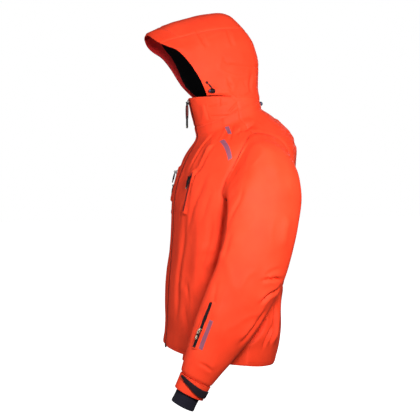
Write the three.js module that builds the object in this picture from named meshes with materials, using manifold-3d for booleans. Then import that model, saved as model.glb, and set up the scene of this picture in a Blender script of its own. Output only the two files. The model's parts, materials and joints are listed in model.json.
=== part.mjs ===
// Foul weather jacket with its hood up, standing in the shape of its wearer.
// Millimetres, +Z up, the chest faces -Y and the wearer's left side is +X.
// The origin is where a hook carries the hanger loop inside the nape.
import * as THREE from 'three';
import { mergeVertices } from 'three/addons/utils/BufferGeometryUtils.js';
import Module from 'manifold-3d';

const wasm = await Module();
wasm.setup();

// ---- driving dimensions -------------------------------------------------
const SHELL = 4.5; // padded outer fabric
const THIN = 1.6; // linings, facings and tapes
const KNIT = 2.4; // ribbed wrist gaiters
const GAP = 0.4; // clearance between neighbouring pieces
const SLACK = 2; // clearance between a padded layer and the layer inside it
const HOOD_SLACK = 8; // the hood's lining hangs looser
const SEAM = 0.003; // half the angle left open at a seam of the body
const HOOK_POINT = [0, 88, 707]; // underside of the hanger loop, above the front hem
const ZIP_HALF = 7; // half width of the closed front zip
const FRONT_POWER = 2.1; // roundness of the body's front half
const BACK_POWER = 2.5; // the back is squarer
const SIDE_SEAM = 1.66; // angle of the side and shoulder seams from the front, radians

// Rings of the body from hem to neck seam:
// z at front, z at back, half width, y at front, y at back, y of the widest point
const BODY = [
  [0, -44, 203, -174, 140, 0],
  [53, 20, 206, -169, 156, 2],
  [160, 150, 208, -164, 163, 6],
  [304, 300, 210, -152, 182, 20],
  [420, 420, 212, -146, 194, 34],
  [475, 480, 212, -136, 200, 42],
  [520, 532, 210, -120, 204, 46],
  [548, 572, 205, -107, 205, 46],
  [568, 604, 188, -96, 200, 44],
  [583, 630, 160, -87, 186, 38],
  [596, 655, 130, -80, 164, 30],
  [607, 676, 108, -77, 136, 22],
  [614, 690, 97, -77, 112, 16],
];
const NECK_RING = BODY[BODY.length - 1];
const COLLAR_TOP = [720, 722, 92, -103, 104, 4];
const YOKE_RING = 7.4; // ring of the seam across the back
const YOKE_GAP = 0.01; // half the gap there, in rings

// Armhole: a round opening in a plane that leans in towards the neck
const ARMHOLE = { x: 165, y: 46, z: 505, tilt: 0.262, clear: 114.5 };

// Rings of the left sleeve: inner x and z, outer x and z, y, forward lean, half depth
const SHOULDER = [
  [194.2, 396.8, 136.2, 613.2, 46, 0, 112],
  [201, 400, 180, 606, 47, 0, 112],
  [208.5, 402, 222, 584, 50, 0, 111],
  [214, 396, 259, 541, 53, 0, 109],
  [216, 378, 287, 482, 54, 0.03, 105],
  [216, 352, 303, 410, 50, 0.09, 100],
];
const LEFT_SLEEVE = [
  ...SHOULDER,
  [216, 302, 315, 330, 36, 0.17, 96],
  [216, 236, 321, 243, 12, 0.3, 95],
  [216, 172, 321, 172, -20, 0.42, 90],
  [217, 110, 318, 110, -53, 0.49, 82],
  [219, 50, 313, 50, -87, 0.49, 69],
  [222, 0, 309, 0, -115, 0.49, 56],
  [225, -38, 305, -38, -135, 0.49, 45],
];
const LEFT_CUFF = [
  [225, -38.8, 305, -38.8, -135.4, 0.49, 45],
  [227, -57, 303, -57, -145, 0.49, 43],
  [228, -75, 302, -75, -154, 0.49, 42],
];
const LEFT_GAITER = [
  [233, -57, 297, -57, -146, 0.49, 35],
  [234, -77, 296, -77, -156, 0.49, 33],
  [234, -94, 296, -94, -165, 0.49, 32.5],
  [233, -106, 297, -106, -171, 0.49, 33.5],
];
// The right arm hangs nearly straight
const RIGHT_SLEEVE = [
  ...SHOULDER,
  [216, 300, 315, 322, 42, 0.1, 96],
  [216, 230, 321, 232, 32, 0.14, 93],
  [216, 160, 321, 160, 20, 0.18, 86],
  [217, 92, 318, 92, 8, 0.18, 78],
  [219, 22, 313, 22, -5, 0.18, 66],
  [222, -34, 309, -34, -15, 0.18, 54],
  [225, -76, 305, -76, -23, 0.18, 45],
];
const RIGHT_CUFF = [
  [225, -76.8, 305, -76.8, -23.1, 0.18, 45],
  [227, -99, 303, -99, -27, 0.18, 43],
  [228, -120, 302, -120, -31, 0.18, 42],
];
const RIGHT_GAITER = [
  [233, -99, 297, -99, -27, 0.18, 35],
  [234, -121, 296, -121, -31, 0.18, 33],
  [234, -142, 296, -142, -35, 0.18, 32.5],
  [233, -156, 297, -156, -38, 0.18, 33.5],
];

// Side view of the hood, y and z, from the corner where hood and collar meet
const HOOD_FRONT = [
  [-66, 723], [-80, 742], [-94, 762], [-110, 786], [-130, 815],
  [-158, 845], [-190, 862], [-213, 878], [-228, 899],
];
const HOOD_BACK = [
  [104, 723], [100, 740], [99, 790], [99, 828], [93, 857], [82, 888], [53, 927], [22, 962],
];
const HOOD_TOP = [
  [-228, 899], [-212, 910], [-182, 923], [-147, 938], [-93, 954], [-45, 965], [-9, 969], [22, 962],
];
const HOOD_NECK = [[-66, 723], [-5, 722.8], [50, 723.4], [104, 723]];
const HOOD_WIDTH_FRONT = [88, 98, 104, 108, 108, 107, 103, 98, 92];
const HOOD_WIDTH_BACK = [92, 96, 100, 103, 104, 104, 102, 99, 95];
const HOOD_TURN = 0.085; // the hood looks slightly to its right
const CROWN_POWER = [3, 5.5]; // how late the sides close over the crown, at the face and behind
const HINGE_FRONT = 0.29; // height share of the hood's fold line at the face
const HINGE_BACK = 0.02; // and at the nape
const CROWN = 0.8; // height share where the centre panel begins
const BRIM = 0.27; // depth share of the stiffened brim
const FACING = 0.08; // share of the columns under the coloured inner facing

// Zips: centre of the closed tape, direction down it, outward normal, length
const CHEST_ZIPS = {
  left_chest: { side: 1, x: 101, z: 450, lean: 8, length: 112, slider: 42 },
  right_chest_upper: { side: -1, x: 62, z: 470, lean: 4, length: 92, slider: 36 },
  right_chest_lower: { side: -1, x: 101, z: 432, lean: 8, length: 100, slider: 32 },
};
const FOREARM_ZIP = { ring: 9.45, ringPitch: 72, angle: 0.93, length: 124, slider: -14 };
const ZIP_LIFT = 3.2; // height of a pocket zip's tape above the fabric
const ZIP_FOOT = 0.2; // ring of the body where the front zip starts
const ZIP_TOP = 0.93; // height share of the collar where it ends
const ZIP_ON_BODY = 0.84; // share of the front zip that lies on the body
const FLAP_HALF = 15; // half width of the flap behind the front zip

// Collar lining: the angle left free at the zip, and its lower and upper edges
const COLLAR_LINING = { edge: 0.36, low: 0.12, high: 0.96 };

// Sleeves: ring of the seam at the elbow, and half the gap there in rings
const ELBOW_RING = 7;
const ELBOW_GAP = 0.004;

// Cuff strap and the landing it grips: angles at both ends, rings of the cuff, height above it
const CUFF_LANDING = { from: 0.9, to: -1.0, low: 0.55, high: 1.75, floor: 0.5, roof: 1.4, columns: 8 };
const CUFF_TAB = { from: 1.15, to: -1.1, low: 0.6, high: 1.7, floor: 2.0, roof: 4.6, columns: 10 };

const CORD_RADIUS = 1.25;
const CORD_BOW = 1.5; // how far the cord stands off between its ends

// ---- colours ------------------------------------------------------------
const material = (color, roughness, metalness = 0) =>
  new THREE.MeshStandardMaterial({ color, roughness, metalness });
const ORANGE = material(0xf4461f, 0.75);
const FACING_RED = material(0xb81c26, 0.7);
const LINING_BLACK = material(0x111113, 0.95);
const WEBBING_BLACK = material(0x17161a, 0.8);
const PLASTIC_BLACK = material(0x0d0d0f, 0.45);
const ZIP_RED = material(0x7a1512, 0.6);
const METAL = material(0x3a3230, 0.35, 0.8);

// ---- small maths --------------------------------------------------------
const lerp = (a, b, t) => a + (b - a) * t;
const clamp = (v, lo, hi) => Math.min(Math.max(v, lo), hi);
const vec = (x, y, z) => new THREE.Vector3(x, y, z);

// Smooth value of a table of rows at row number s
function rowAt(table, s) {
  const i = clamp(Math.floor(s), 0, table.length - 2);
  const t = s - i;
  const pick = (k) => table[clamp(k, 0, table.length - 1)];
  const [p0, p1, p2, p3] = [pick(i - 1), pick(i), pick(i + 1), pick(i + 2)];
  return p1.map((v, k) => {
    const a = 2 * p0[k] - 5 * v + 4 * p2[k] - p3[k];
    const b = -p0[k] + 3 * v - 3 * p2[k] + p3[k];
    return 0.5 * (2 * v + (p2[k] - p0[k]) * t + a * t * t + b * t * t * t);
  });
}

const along = (points, t) => rowAt(points, t * (points.length - 1));
const widthAlong = (widths, t) => rowAt(widths.map((w) => [w]), t * (widths.length - 1))[0];

// ---- surfaces -----------------------------------------------------------
function ringPoint(row, theta) {
  const [zFront, zBack, half, yFront, yBack, yWide] = row;
  const c = Math.cos(theta);
  const s = Math.sin(theta);
  const power = 2 / (c > 0 ? FRONT_POWER : BACK_POWER);
  const reach = (c > 0 ? yFront : yBack) - yWide;
  const x = half * Math.sign(s) * Math.abs(s) ** power;
  const y = yWide + reach * Math.abs(c) ** power;
  return vec(x, y, lerp(zFront, zBack, (y - yFront) / (yBack - yFront)));
}

const bodyPoint = (theta, s) => ringPoint(rowAt(BODY, s), theta);

function collarPoint(theta, c) {
  return ringPoint(NECK_RING.map((v, k) => lerp(v, COLLAR_TOP[k], c)), theta);
}

// Angle of the point of a ring at a given distance from the centre line
function angleAt(row, x) {
  const power = FRONT_POWER / 2;
  return Math.sign(x) * Math.asin(Math.abs(x / row[2]) ** power);
}

function sleevePoint(table, side, s, phi) {
  const [ix, iz, ox, oz, y, lean, depth] = rowAt(table, s);
  const centre = vec((ix + ox) / 2, y, (iz + oz) / 2);
  const out = vec((ox - ix) / 2, 0, (oz - iz) / 2);
  const back = vec(0, Math.cos(lean) * depth, -Math.sin(lean) * depth);
  const p = centre.addScaledVector(out, Math.cos(phi)).addScaledVector(back, -Math.sin(phi));
  return vec(side * p.x, p.y, p.z);
}

function hoodPoint(side, u, v) {
  const f = along(HOOD_FRONT, v);
  const k = along(HOOD_BACK, v);
  const n = along(HOOD_NECK, u);
  const t = along(HOOD_TOP, u);
  const yz = [0, 1].map((i) => {
    const corners = lerp(
      lerp(HOOD_FRONT[0][i], HOOD_BACK[0][i], u),
      lerp(HOOD_TOP[0][i], HOOD_TOP[HOOD_TOP.length - 1][i], u),
      v,
    );
    return lerp(n[i], t[i], v) + lerp(f[i], k[i], u) - corners;
  });
  const blend = clamp(1.6 * u, 0, 1);
  const closing = Math.sqrt(Math.max(1 - clamp(v, 0, 1) ** lerp(...CROWN_POWER, blend), 0));
  const half = closing * lerp(
    widthAlong(HOOD_WIDTH_FRONT, v),
    widthAlong(HOOD_WIDTH_BACK, v),
    blend,
  );
  const x = Math.max(half * Math.max(1 - clamp(u, 0, 1) ** 2.4, 0) ** (1 / 2.4), 0.25);
  const turn = HOOD_TURN * clamp((yz[1] - 723) / 40, 0, 1);
  return vec(side * x, yz[0] + turn * side * x, yz[1]);
}

const hoodFold = (u) => lerp(HINGE_FRONT, HINGE_BACK, u);

// Spacing that crowds towards 1, where the hood curves most
const crowd = (i) => (i < 0 || i > 1 ? i : 1 - (1 - i) ** 1.8);

// ---- solids -------------------------------------------------------------
const grid = (columns, rows, at) =>
  Array.from({ length: columns + 1 }, (_, i) =>
    Array.from({ length: rows + 1 }, (_, j) => at(i / columns, j / rows)));

// Unit normal of a surface at (i, j), pointing away from the point that centre gives
function normalAt(at, i, j, centre) {
  const h = 0.01;
  const du = at(i + h, j).sub(at(i - h, j));
  const dv = at(i, j + h).sub(at(i, j - h));
  const normal = du.cross(dv).normalize();
  const p = at(i, j);
  return normal.dot(p.clone().sub(centre(p))) < 0 ? normal.negate() : normal;
}

// A closed solid between two grids of points
function slab(outer, inner, closed = false) {
  const columns = outer.length - (closed ? 1 : 0);
  const rows = outer[0].length;
  const corners = [];
  const index = (layer, i, j) => layer * columns * rows + (i % columns) * rows + j;
  for (const layer of [outer, inner]) {
    layer.slice(0, columns).forEach((column) => column.forEach((p) => corners.push(p.x, p.y, p.z)));
  }
  const faces = [];
  const quad = (a, b, c, d) => faces.push(a, b, c, a, c, d);
  for (let i = 0; i < outer.length - 1; i += 1) {
    for (let j = 0; j < rows - 1; j += 1) {
      quad(index(0, i, j), index(0, i + 1, j), index(0, i + 1, j + 1), index(0, i, j + 1));
      quad(index(1, i, j), index(1, i, j + 1), index(1, i + 1, j + 1), index(1, i + 1, j));
    }
    quad(index(0, i, 0), index(1, i, 0), index(1, i + 1, 0), index(0, i + 1, 0));
    const j = rows - 1;
    quad(index(0, i, j), index(0, i + 1, j), index(1, i + 1, j), index(1, i, j));
  }
  for (let j = 0; !closed && j < rows - 1; j += 1) {
    quad(index(0, 0, j), index(0, 0, j + 1), index(1, 0, j + 1), index(1, 0, j));
    const i = columns - 1;
    quad(index(0, i, j), index(1, i, j), index(1, i, j + 1), index(0, i, j + 1));
  }
  const geometry = new THREE.BufferGeometry();
  geometry.setAttribute('position', new THREE.Float32BufferAttribute(corners, 3));
  geometry.setIndex(faces);
  return facingOut(geometry);
}

function signedVolume(geometry) {
  const p = geometry.attributes.position;
  const [a, b, c] = [vec(), vec(), vec()];
  let sum = 0;
  for (let i = 0; i < geometry.index.count; i += 3) {
    a.fromBufferAttribute(p, geometry.index.getX(i));
    b.fromBufferAttribute(p, geometry.index.getX(i + 1));
    c.fromBufferAttribute(p, geometry.index.getX(i + 2));
    sum += a.dot(b.cross(c));
  }
  return sum;
}

function facingOut(geometry) {
  if (signedVolume(geometry) < 0) {
    const index = geometry.index.array;
    for (let i = 0; i < index.length; i += 3) [index[i], index[i + 1]] = [index[i + 1], index[i]];
  }
  return geometry;
}

// A fabric layer on a surface, from depth top to depth bottom inside it
function layer(columns, rows, at, centre, top, bottom, tidy = (p) => p) {
  const offset = (distance) => grid(columns, rows, (i, j) =>
    tidy(at(i, j).addScaledVector(normalAt(at, i, j, centre), -distance)));
  return slab(offset(top), offset(bottom));
}

function toManifold(geometry) {
  const bare = geometry.clone();
  bare.deleteAttribute('normal');
  bare.deleteAttribute('uv');
  const merged = mergeVertices(bare, 1e-4);
  return new wasm.Manifold(new wasm.Mesh({
    numProp: 3,
    vertProperties: new Float32Array(merged.attributes.position.array),
    triVerts: new Uint32Array(merged.index.array),
  }));
}

function fromManifold(solid) {
  const mesh = solid.getMesh();
  const geometry = new THREE.BufferGeometry();
  geometry.setAttribute('position', new THREE.Float32BufferAttribute(mesh.vertProperties, 3));
  geometry.setIndex(Array.from(mesh.triVerts));
  return geometry;
}

const cut = (geometry, tool) => fromManifold(toManifold(geometry).subtract(toManifold(tool)));
const join = (a, b) => fromManifold(toManifold(a).add(toManifold(b)));

// ---- the part -----------------------------------------------------------
const jacket = new THREE.Group();
jacket.position.set(-HOOK_POINT[0], -HOOK_POINT[1], -HOOK_POINT[2]);

function piece(name, geometry, look, parent = jacket) {
  const mesh = new THREE.Mesh(geometry, look);
  mesh.name = name;
  parent.add(mesh);
  return mesh;
}

const bodyCentre = (p) => vec(0, 20, p.z - 60);
const neckCentre = (p) => vec(0, 8, p.z);

// Cylinder of air over each armhole
function armholeTool(side) {
  const depth = 90;
  const tool = new THREE.CylinderGeometry(ARMHOLE.clear, ARMHOLE.clear, depth, 36);
  tool.rotateZ(-Math.PI / 2);
  tool.translate(depth / 2, 0, 0);
  tool.rotateY(-ARMHOLE.tilt);
  tool.translate(ARMHOLE.x, ARMHOLE.y, ARMHOLE.z);
  if (side < 0) tool.rotateZ(Math.PI).translate(0, 2 * ARMHOLE.y, 0);
  return tool;
}

function bodyPanels() {
  const top = BODY.length - 1;
  for (const [name, side] of [['left', 1], ['right', -1]]) {
    const at = (i, j) => {
      const s = j * top;
      const start = angleAt(rowAt(BODY, s), ZIP_HALF + GAP);
      return bodyPoint(side * lerp(start, SIDE_SEAM - SEAM, i), s);
    };
    const panel = layer(7, 17, at, bodyCentre, 0, SHELL);
    piece(`front_${name}_panel`, cut(panel, armholeTool(side)), ORANGE);
  }
  const wrap = (i) => lerp(SIDE_SEAM + SEAM, 2 * Math.PI - SIDE_SEAM - SEAM, i);
  const backAt = (i, j) => bodyPoint(wrap(i), j * (YOKE_RING - YOKE_GAP));
  const yokeAt = (i, j) => bodyPoint(wrap(i), lerp(YOKE_RING + YOKE_GAP, top, j));
  const back = layer(14, 11, backAt, bodyCentre, 0, SHELL);
  const yoke = layer(14, 6, yokeAt, bodyCentre, 0, SHELL);
  for (const [name, solid] of [['back_panel', back], ['back_yoke', yoke]]) {
    piece(name, cut(cut(solid, armholeTool(1)), armholeTool(-1)), ORANGE);
  }
}

const COLLAR_START = 0.008;

function collar() {
  const low = (j) => lerp(COLLAR_START, 1, j);
  for (const [name, side] of [['left', 1], ['right', -1]]) {
    const at = (i, j) => {
      const start = angleAt(rowAt([NECK_RING, COLLAR_TOP], low(j)), ZIP_HALF + GAP);
      return collarPoint(side * lerp(start, SIDE_SEAM - SEAM, i), low(j));
    };
    piece(`collar_${name}`, layer(7, 5, at, neckCentre, 0, SHELL), ORANGE);
  }
  const wrap = (i) => lerp(SIDE_SEAM + SEAM, 2 * Math.PI - SIDE_SEAM - SEAM, i);
  const backAt = (i, j) => collarPoint(wrap(i), low(j));
  piece('collar_back', layer(10, 3, backAt, neckCentre, 0, SHELL), ORANGE);
  const { edge, low: bottom, high } = COLLAR_LINING;
  const liningAt = (i, j) =>
    collarPoint(lerp(edge, 2 * Math.PI - edge, i), lerp(bottom, high, j));
  const depth = SHELL + SLACK;
  piece('collar_lining', layer(16, 2, liningAt, neckCentre, depth, depth + THIN), LINING_BLACK);
}

// Rows up the centre front: the body first, then the collar
function frontRow(x, j) {
  if (j < ZIP_ON_BODY) {
    const s = lerp(ZIP_FOOT, BODY.length - 1, j / ZIP_ON_BODY);
    return bodyPoint(angleAt(rowAt(BODY, s), x), s);
  }
  const c = (j - ZIP_ON_BODY) / (1 - ZIP_ON_BODY) * ZIP_TOP;
  return collarPoint(angleAt(rowAt([NECK_RING, COLLAR_TOP], c), x), c);
}

function frontZip() {
  for (const [name, side] of [['left', 1], ['right', -1]]) {
    const at = (i, j) => frontRow(side * lerp(0.25, ZIP_HALF, i), j);
    piece(`main_zip_${name}_tape`, layer(1, 20, at, bodyCentre, 0.6, 0.6 + THIN), ZIP_RED);
  }
  const flapAt = (i, j) => frontRow(lerp(-FLAP_HALF, FLAP_HALF, i), j);
  const depth = SHELL + SLACK;
  piece('storm_flap', layer(2, 18, flapAt, bodyCentre, depth, depth + THIN), ORANGE);

  const garage = new THREE.BoxGeometry(13, 5, 6.5);
  garage.translate(0, -98.6, 718.2);
  piece('zip_garage', garage, ORANGE);
  const box = new THREE.BoxGeometry(9, 4, 12);
  box.translate(0, -171.5, -1);
  piece('zip_pin_box', box, PLASTIC_BLACK);
}

// Slider: a body over the teeth and a bail that the pull hangs on.
// Local frame: x across, -y out of the fabric, z up the zip; origin on the tape.
function sliderGeometry(width, height) {
  const outline = new THREE.Shape();
  outline.moveTo(-width / 2, height * 0.35);
  outline.lineTo(-width * 0.3, height / 2);
  outline.lineTo(width * 0.3, height / 2);
  outline.lineTo(width / 2, height * 0.35);
  outline.lineTo(width * 0.36, -height / 2);
  outline.lineTo(-width * 0.36, -height / 2);
  const body = new THREE.ExtrudeGeometry(outline, { depth: 2.8, bevelEnabled: false });
  body.rotateX(Math.PI / 2);
  body.translate(0, -GAP, 0);

  const ring = new THREE.Shape();
  ring.absarc(0, 0, BAIL_OUTER, 0, Math.PI * 2);
  const eye = new THREE.Path();
  eye.absarc(0, 0, BAIL_INNER, 0, Math.PI * 2);
  ring.holes.push(eye);
  const bail = new THREE.ExtrudeGeometry(ring, { depth: 2, bevelEnabled: false, curveSegments: 7 });
  bail.translate(0, 0, -1);
  bail.rotateY(Math.PI / 2);
  bail.translate(0, PIVOT_Y, 0);
  return join(body, bail);
}

const BAIL_OUTER = 3.7;
const BAIL_INNER = 2.5;
const PIVOT_Y = -(GAP + 2.8 + BAIL_OUTER - 0.7);

// Pull: a flat tag that hangs from its top bar; origin on the pivot
function pullerGeometry(width, length, hole) {
  const shape = new THREE.Shape();
  const neck = width * 0.36;
  shape.moveTo(-3.4, 1);
  shape.lineTo(3.4, 1);
  shape.lineTo(3.4, -7);
  shape.lineTo(width / 2, -length * 0.3);
  shape.lineTo(width / 2, -length * 0.45);
  shape.lineTo(neck, -length * 0.6);
  shape.lineTo(neck, -length + neck);
  shape.absarc(0, -length + neck, neck, 0, -Math.PI, true);
  shape.lineTo(-neck, -length * 0.6);
  shape.lineTo(-width / 2, -length * 0.45);
  shape.lineTo(-width / 2, -length * 0.3);
  shape.lineTo(-3.4, -7);
  const eye = new THREE.Path();
  eye.moveTo(-1.8, -1);
  eye.lineTo(-1.8, -6);
  eye.lineTo(1.8, -6);
  eye.lineTo(1.8, -1);
  shape.holes.push(eye);
  const tip = new THREE.Path();
  tip.absarc(0, -length + neck, hole, 0, Math.PI * 2);
  shape.holes.push(tip);
  const tag = new THREE.ExtrudeGeometry(shape, { depth: 2, bevelEnabled: false, curveSegments: 5 });
  tag.translate(0, 0, -1);
  tag.rotateX(Math.PI / 2);
  return tag;
}

// Places a zip frame: z runs up the zip, -y out of the fabric
function zipFrame(origin, up, out) {
  const z = up.clone().normalize();
  const y = out.clone().addScaledVector(z, -out.dot(z)).normalize().negate();
  const x = y.clone().cross(z);
  const frame = new THREE.Group();
  frame.matrix.makeBasis(x, y, z).setPosition(origin);
  frame.matrix.decompose(frame.position, frame.quaternion, frame.scale);
  jacket.add(frame);
  return frame;
}

// Hangs a slider and its pull on a zip frame, height up from its middle
function sliderAndPull(name, frame, height, size, pull, hang = 0) {
  const slider = piece(`${name}_slider`, sliderGeometry(...size), METAL, frame);
  slider.position.z = height;
  const puller = piece(`${name}_puller`, pullerGeometry(...pull), PLASTIC_BLACK, frame);
  puller.position.set(0, PIVOT_Y, height);
  puller.rotation.x = hang;
}

function mainSlider() {
  const low = collarPoint(0, 0.1);
  const high = collarPoint(0, 0.9);
  const up = high.clone().sub(low).normalize();
  const frame = zipFrame(high.clone(), up, vec(0, -1, 0));
  sliderAndPull('main_zip', frame, 0, [11, 13], [13, 74, 2.4], MAIN_HANG);
}

const MAIN_HANG = -0.235; // the collar leans forward and the pull hangs plumb

// Point of the body's front at a given x and height, found by stepping along the rings
function surfaceAt(side, x, z) {
  const ringPitch = 60;
  const point = (s) => {
    const row = rowAt(BODY, s);
    return ringPoint(row, angleAt(row, side * x));
  };
  let s = 5;
  for (let step = 0; step < 30; step += 1) s += (z - point(s).z) / ringPitch;
  return point(s);
}

function flatTape(name, frame, width, length, lift) {
  const tape = new THREE.BoxGeometry(width, lift, length);
  tape.translate(0, lift / 2, 0);
  piece(name, tape, ZIP_RED, frame);
}

function chestZips() {
  for (const [name, zip] of Object.entries(CHEST_ZIPS)) {
    const half = zip.length / 2;
    const low = surfaceAt(zip.side, zip.x - zip.lean / 2, zip.z - half);
    const high = surfaceAt(zip.side, zip.x + zip.lean / 2, zip.z + half);
    const mid = surfaceAt(zip.side, zip.x, zip.z);
    const reach = 12;
    const ahead = surfaceAt(zip.side, zip.x - reach, zip.z);
    const behind = surfaceAt(zip.side, zip.x + reach, zip.z);
    const up = high.clone().sub(low).normalize();
    const out = behind.clone().sub(ahead).cross(up).normalize();
    if (out.y > 0) out.negate();
    const origin = mid.clone().addScaledVector(out, ZIP_LIFT);
    const frame = zipFrame(origin, up, out);
    flatTape(`${name}_zip_tape`, frame, 9, zip.length, THIN);
    sliderAndPull(`${name}_zip`, frame, zip.slider, [8, 10], [8, 34, 1.6]);
  }
}

// ---- hanger loop --------------------------------------------------------
function hangerLoop() {
  const [, y, z] = HOOK_POINT;
  const shape = new THREE.Shape();
  shape.moveTo(-26, -15);
  shape.lineTo(-26, 1.6);
  shape.lineTo(26, 1.6);
  shape.lineTo(26, -15);
  shape.lineTo(24.4, -15);
  shape.lineTo(24.4, 0);
  shape.lineTo(-24.4, 0);
  shape.lineTo(-24.4, -15);
  const loop = new THREE.ExtrudeGeometry(shape, { depth: 8, bevelEnabled: false });
  loop.rotateX(Math.PI / 2);
  loop.translate(0, y + 4, z);
  piece('hanger_loop', loop, WEBBING_BLACK);
}

// ---- hood ---------------------------------------------------------------
const hoodCentre = () => vec(0, -20, 800);

function hood() {
  const open = 0.004;
  for (const [name, side] of [['left', 1], ['right', -1]]) {
    const at = (i, v) => hoodPoint(side, crowd(i), v);
    const half = (p) => p.setX(side * Math.max(side * p.x, 0.25));
    const depth = SHELL + HOOD_SLACK;
    const above = (from, to) => (i, j) => {
      const k = lerp(from, to, i);
      return at(k, lerp(hoodFold(crowd(k)) + 0.03, 0.96, crowd(j)));
    };
    const lower = (i, j) => at(i, lerp(0, hoodFold(crowd(i)) - open, j));
    const sides = (i, j) => at(i, lerp(hoodFold(crowd(i)) + open, CROWN - open, j));
    const facing = layer(2, 10, above(0, FACING - open), hoodCentre, depth, depth + THIN, half);
    const lining = layer(8, 9, above(FACING + open, 0.97), hoodCentre, depth, depth + THIN, half);
    piece(`hood_neck_${name}`, layer(10, 2, lower, hoodCentre, 0, SHELL, half), ORANGE);
    piece(`hood_side_${name}`, layer(10, 7, sides, hoodCentre, 0, SHELL, half), ORANGE);
    piece(`hood_facing_${name}`, facing, FACING_RED);
    piece(`hood_lining_${name}`, lining, LINING_BLACK);
  }
  const across = (from, to) => (i, j) => {
    const side = j < 0.5 ? -1 : 1;
    const down = Math.abs(2 * j - 1) ** 1.7;
    const p = hoodPoint(side, lerp(from, to, i), lerp(1, CROWN + open, down));
    return j === 0.5 ? vec(0, p.y, p.z) : p;
  };
  piece('hood_brim', layer(3, 10, across(0, BRIM - open), hoodCentre, 0, SHELL), ORANGE);
  piece('hood_centre_panel', layer(8, 10, across(BRIM + open, 1), hoodCentre, 0, SHELL), ORANGE);
}

// ---- hood adjusters -----------------------------------------------------
const ADJUSTER = { eyelet: [0.1, 0.215], lock: [0.13, 0.085] };

// Frame on the hood's skin: -y out, z up
function hoodFrame(side, u, v, lift) {
  const p = hoodPoint(side, u, v);
  const du = hoodPoint(side, u + 0.03, v).sub(hoodPoint(side, u - 0.03, v));
  const dv = hoodPoint(side, u, v + 0.03).sub(hoodPoint(side, u, v - 0.03));
  const out = du.cross(dv).normalize();
  if (out.x * side < 0) out.negate();
  return zipFrame(p.addScaledVector(out, lift), vec(0, 0, 1), out);
}

const LOCK_OUT = 6.6; // height of a cord lock's centre line above the fabric
const LOCK_RADIUS = 6;
const EYELET_DEPTH = 1.4;

// Barrel lock with its spring button in one end; turn +1 points the button along -x
function cordLock(name, frame, turn) {
  const barrel = [
    [0, -8], [4.4, -8], [LOCK_RADIUS, -5.5], [LOCK_RADIUS, 4],
    [5.3, 6.5], [4.5, 6.5], [4.5, -0.5], [0, -0.5],
  ];
  const plunger = [[0, 3], [3.9, 3], [3.9, 9], [3.2, 10.5], [0, 10.5]];
  for (const [part, points, look] of [['', barrel, PLASTIC_BLACK], ['_button', plunger, METAL]]) {
    const body = new THREE.LatheGeometry(points.map(([r, h]) => new THREE.Vector2(r, h)), 10);
    body.rotateZ(turn * Math.PI / 2);
    body.translate(0, -LOCK_OUT, 0);
    piece(`${name}_lock${part}`, body, look, frame);
  }
}

function hoodCord(name, high, low) {
  high.updateMatrix();
  low.updateMatrix();
  const from = vec(0, -EYELET_DEPTH - CORD_RADIUS - 0.65, 0).applyMatrix4(high.matrix);
  const to = vec(0, -LOCK_OUT, LOCK_RADIUS + CORD_RADIUS + 0.15).applyMatrix4(low.matrix);
  const mid = from.clone().lerp(to, 0.5).add(vec(Math.sign(from.x) * CORD_BOW, 0, 0));
  const route = new THREE.CatmullRomCurve3([from, mid, to]);
  const section = new THREE.Shape();
  section.absarc(0, 0, CORD_RADIUS, 0, Math.PI * 2);
  const options = { steps: 8, extrudePath: route, curveSegments: 4 };
  const cord = new THREE.ExtrudeGeometry(section, options);
  piece(`hood_cord_${name}`, cord, WEBBING_BLACK);
}

function hoodAdjusters() {
  for (const [name, side] of [['left', 1], ['right', -1]]) {
    const high = hoodFrame(side, ...ADJUSTER.eyelet, 0.4);
    const ring = new THREE.Shape();
    ring.absarc(0, 0, 4.2, 0, Math.PI * 2);
    const eye = new THREE.Path();
    eye.absarc(0, 0, 1.9, 0, Math.PI * 2);
    ring.holes.push(eye);
    const options = { depth: EYELET_DEPTH, bevelEnabled: false, curveSegments: 7 };
    const eyelet = new THREE.ExtrudeGeometry(ring, options);
    eyelet.rotateX(Math.PI / 2);
    piece(`hood_eyelet_${name}`, eyelet, FACING_RED, high);
    const low = hoodFrame(side, ...ADJUSTER.lock, 1);
    cordLock(`hood_${name}`, low, side);
    hoodCord(name, high, low);
  }
  cordLock('hood_rear', zipFrame(vec(0, 108.8, 708), vec(0, 0, 1), vec(0, 1, 0)), 1);
}

// ---- sleeves ------------------------------------------------------------
function sleeveCentre(table, side, s) {
  const a = sleevePoint(table, side, s, 0);
  return a.add(sleevePoint(table, side, s, Math.PI)).multiplyScalar(0.5);
}

// A tube of fabric between two rings of a table
function tube(table, side, [first, last], [columns, rows], depth) {
  const at = (i, j) => sleevePoint(table, side, lerp(first, last, j), i * 2 * Math.PI);
  const outer = grid(columns, rows, at);
  const inner = grid(columns, rows, (i, j) => {
    const centre = sleeveCentre(table, side, lerp(first, last, j));
    const p = at(i, j);
    return p.addScaledVector(centre.sub(p).normalize(), depth);
  });
  return slab(outer, inner, true);
}

// A curved patch wrapped on a tube, between two heights above it
function patch(table, side, { from, to, low, high, floor, roof, columns }) {
  const ring = (lift) => grid(columns, 2, (i, j) => {
    const s = lerp(low, high, j);
    const p = sleevePoint(table, side, s, lerp(from, to, i));
    return p.addScaledVector(p.clone().sub(sleeveCentre(table, side, s)).normalize(), lift);
  });
  return slab(ring(roof), ring(floor));
}

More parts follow.
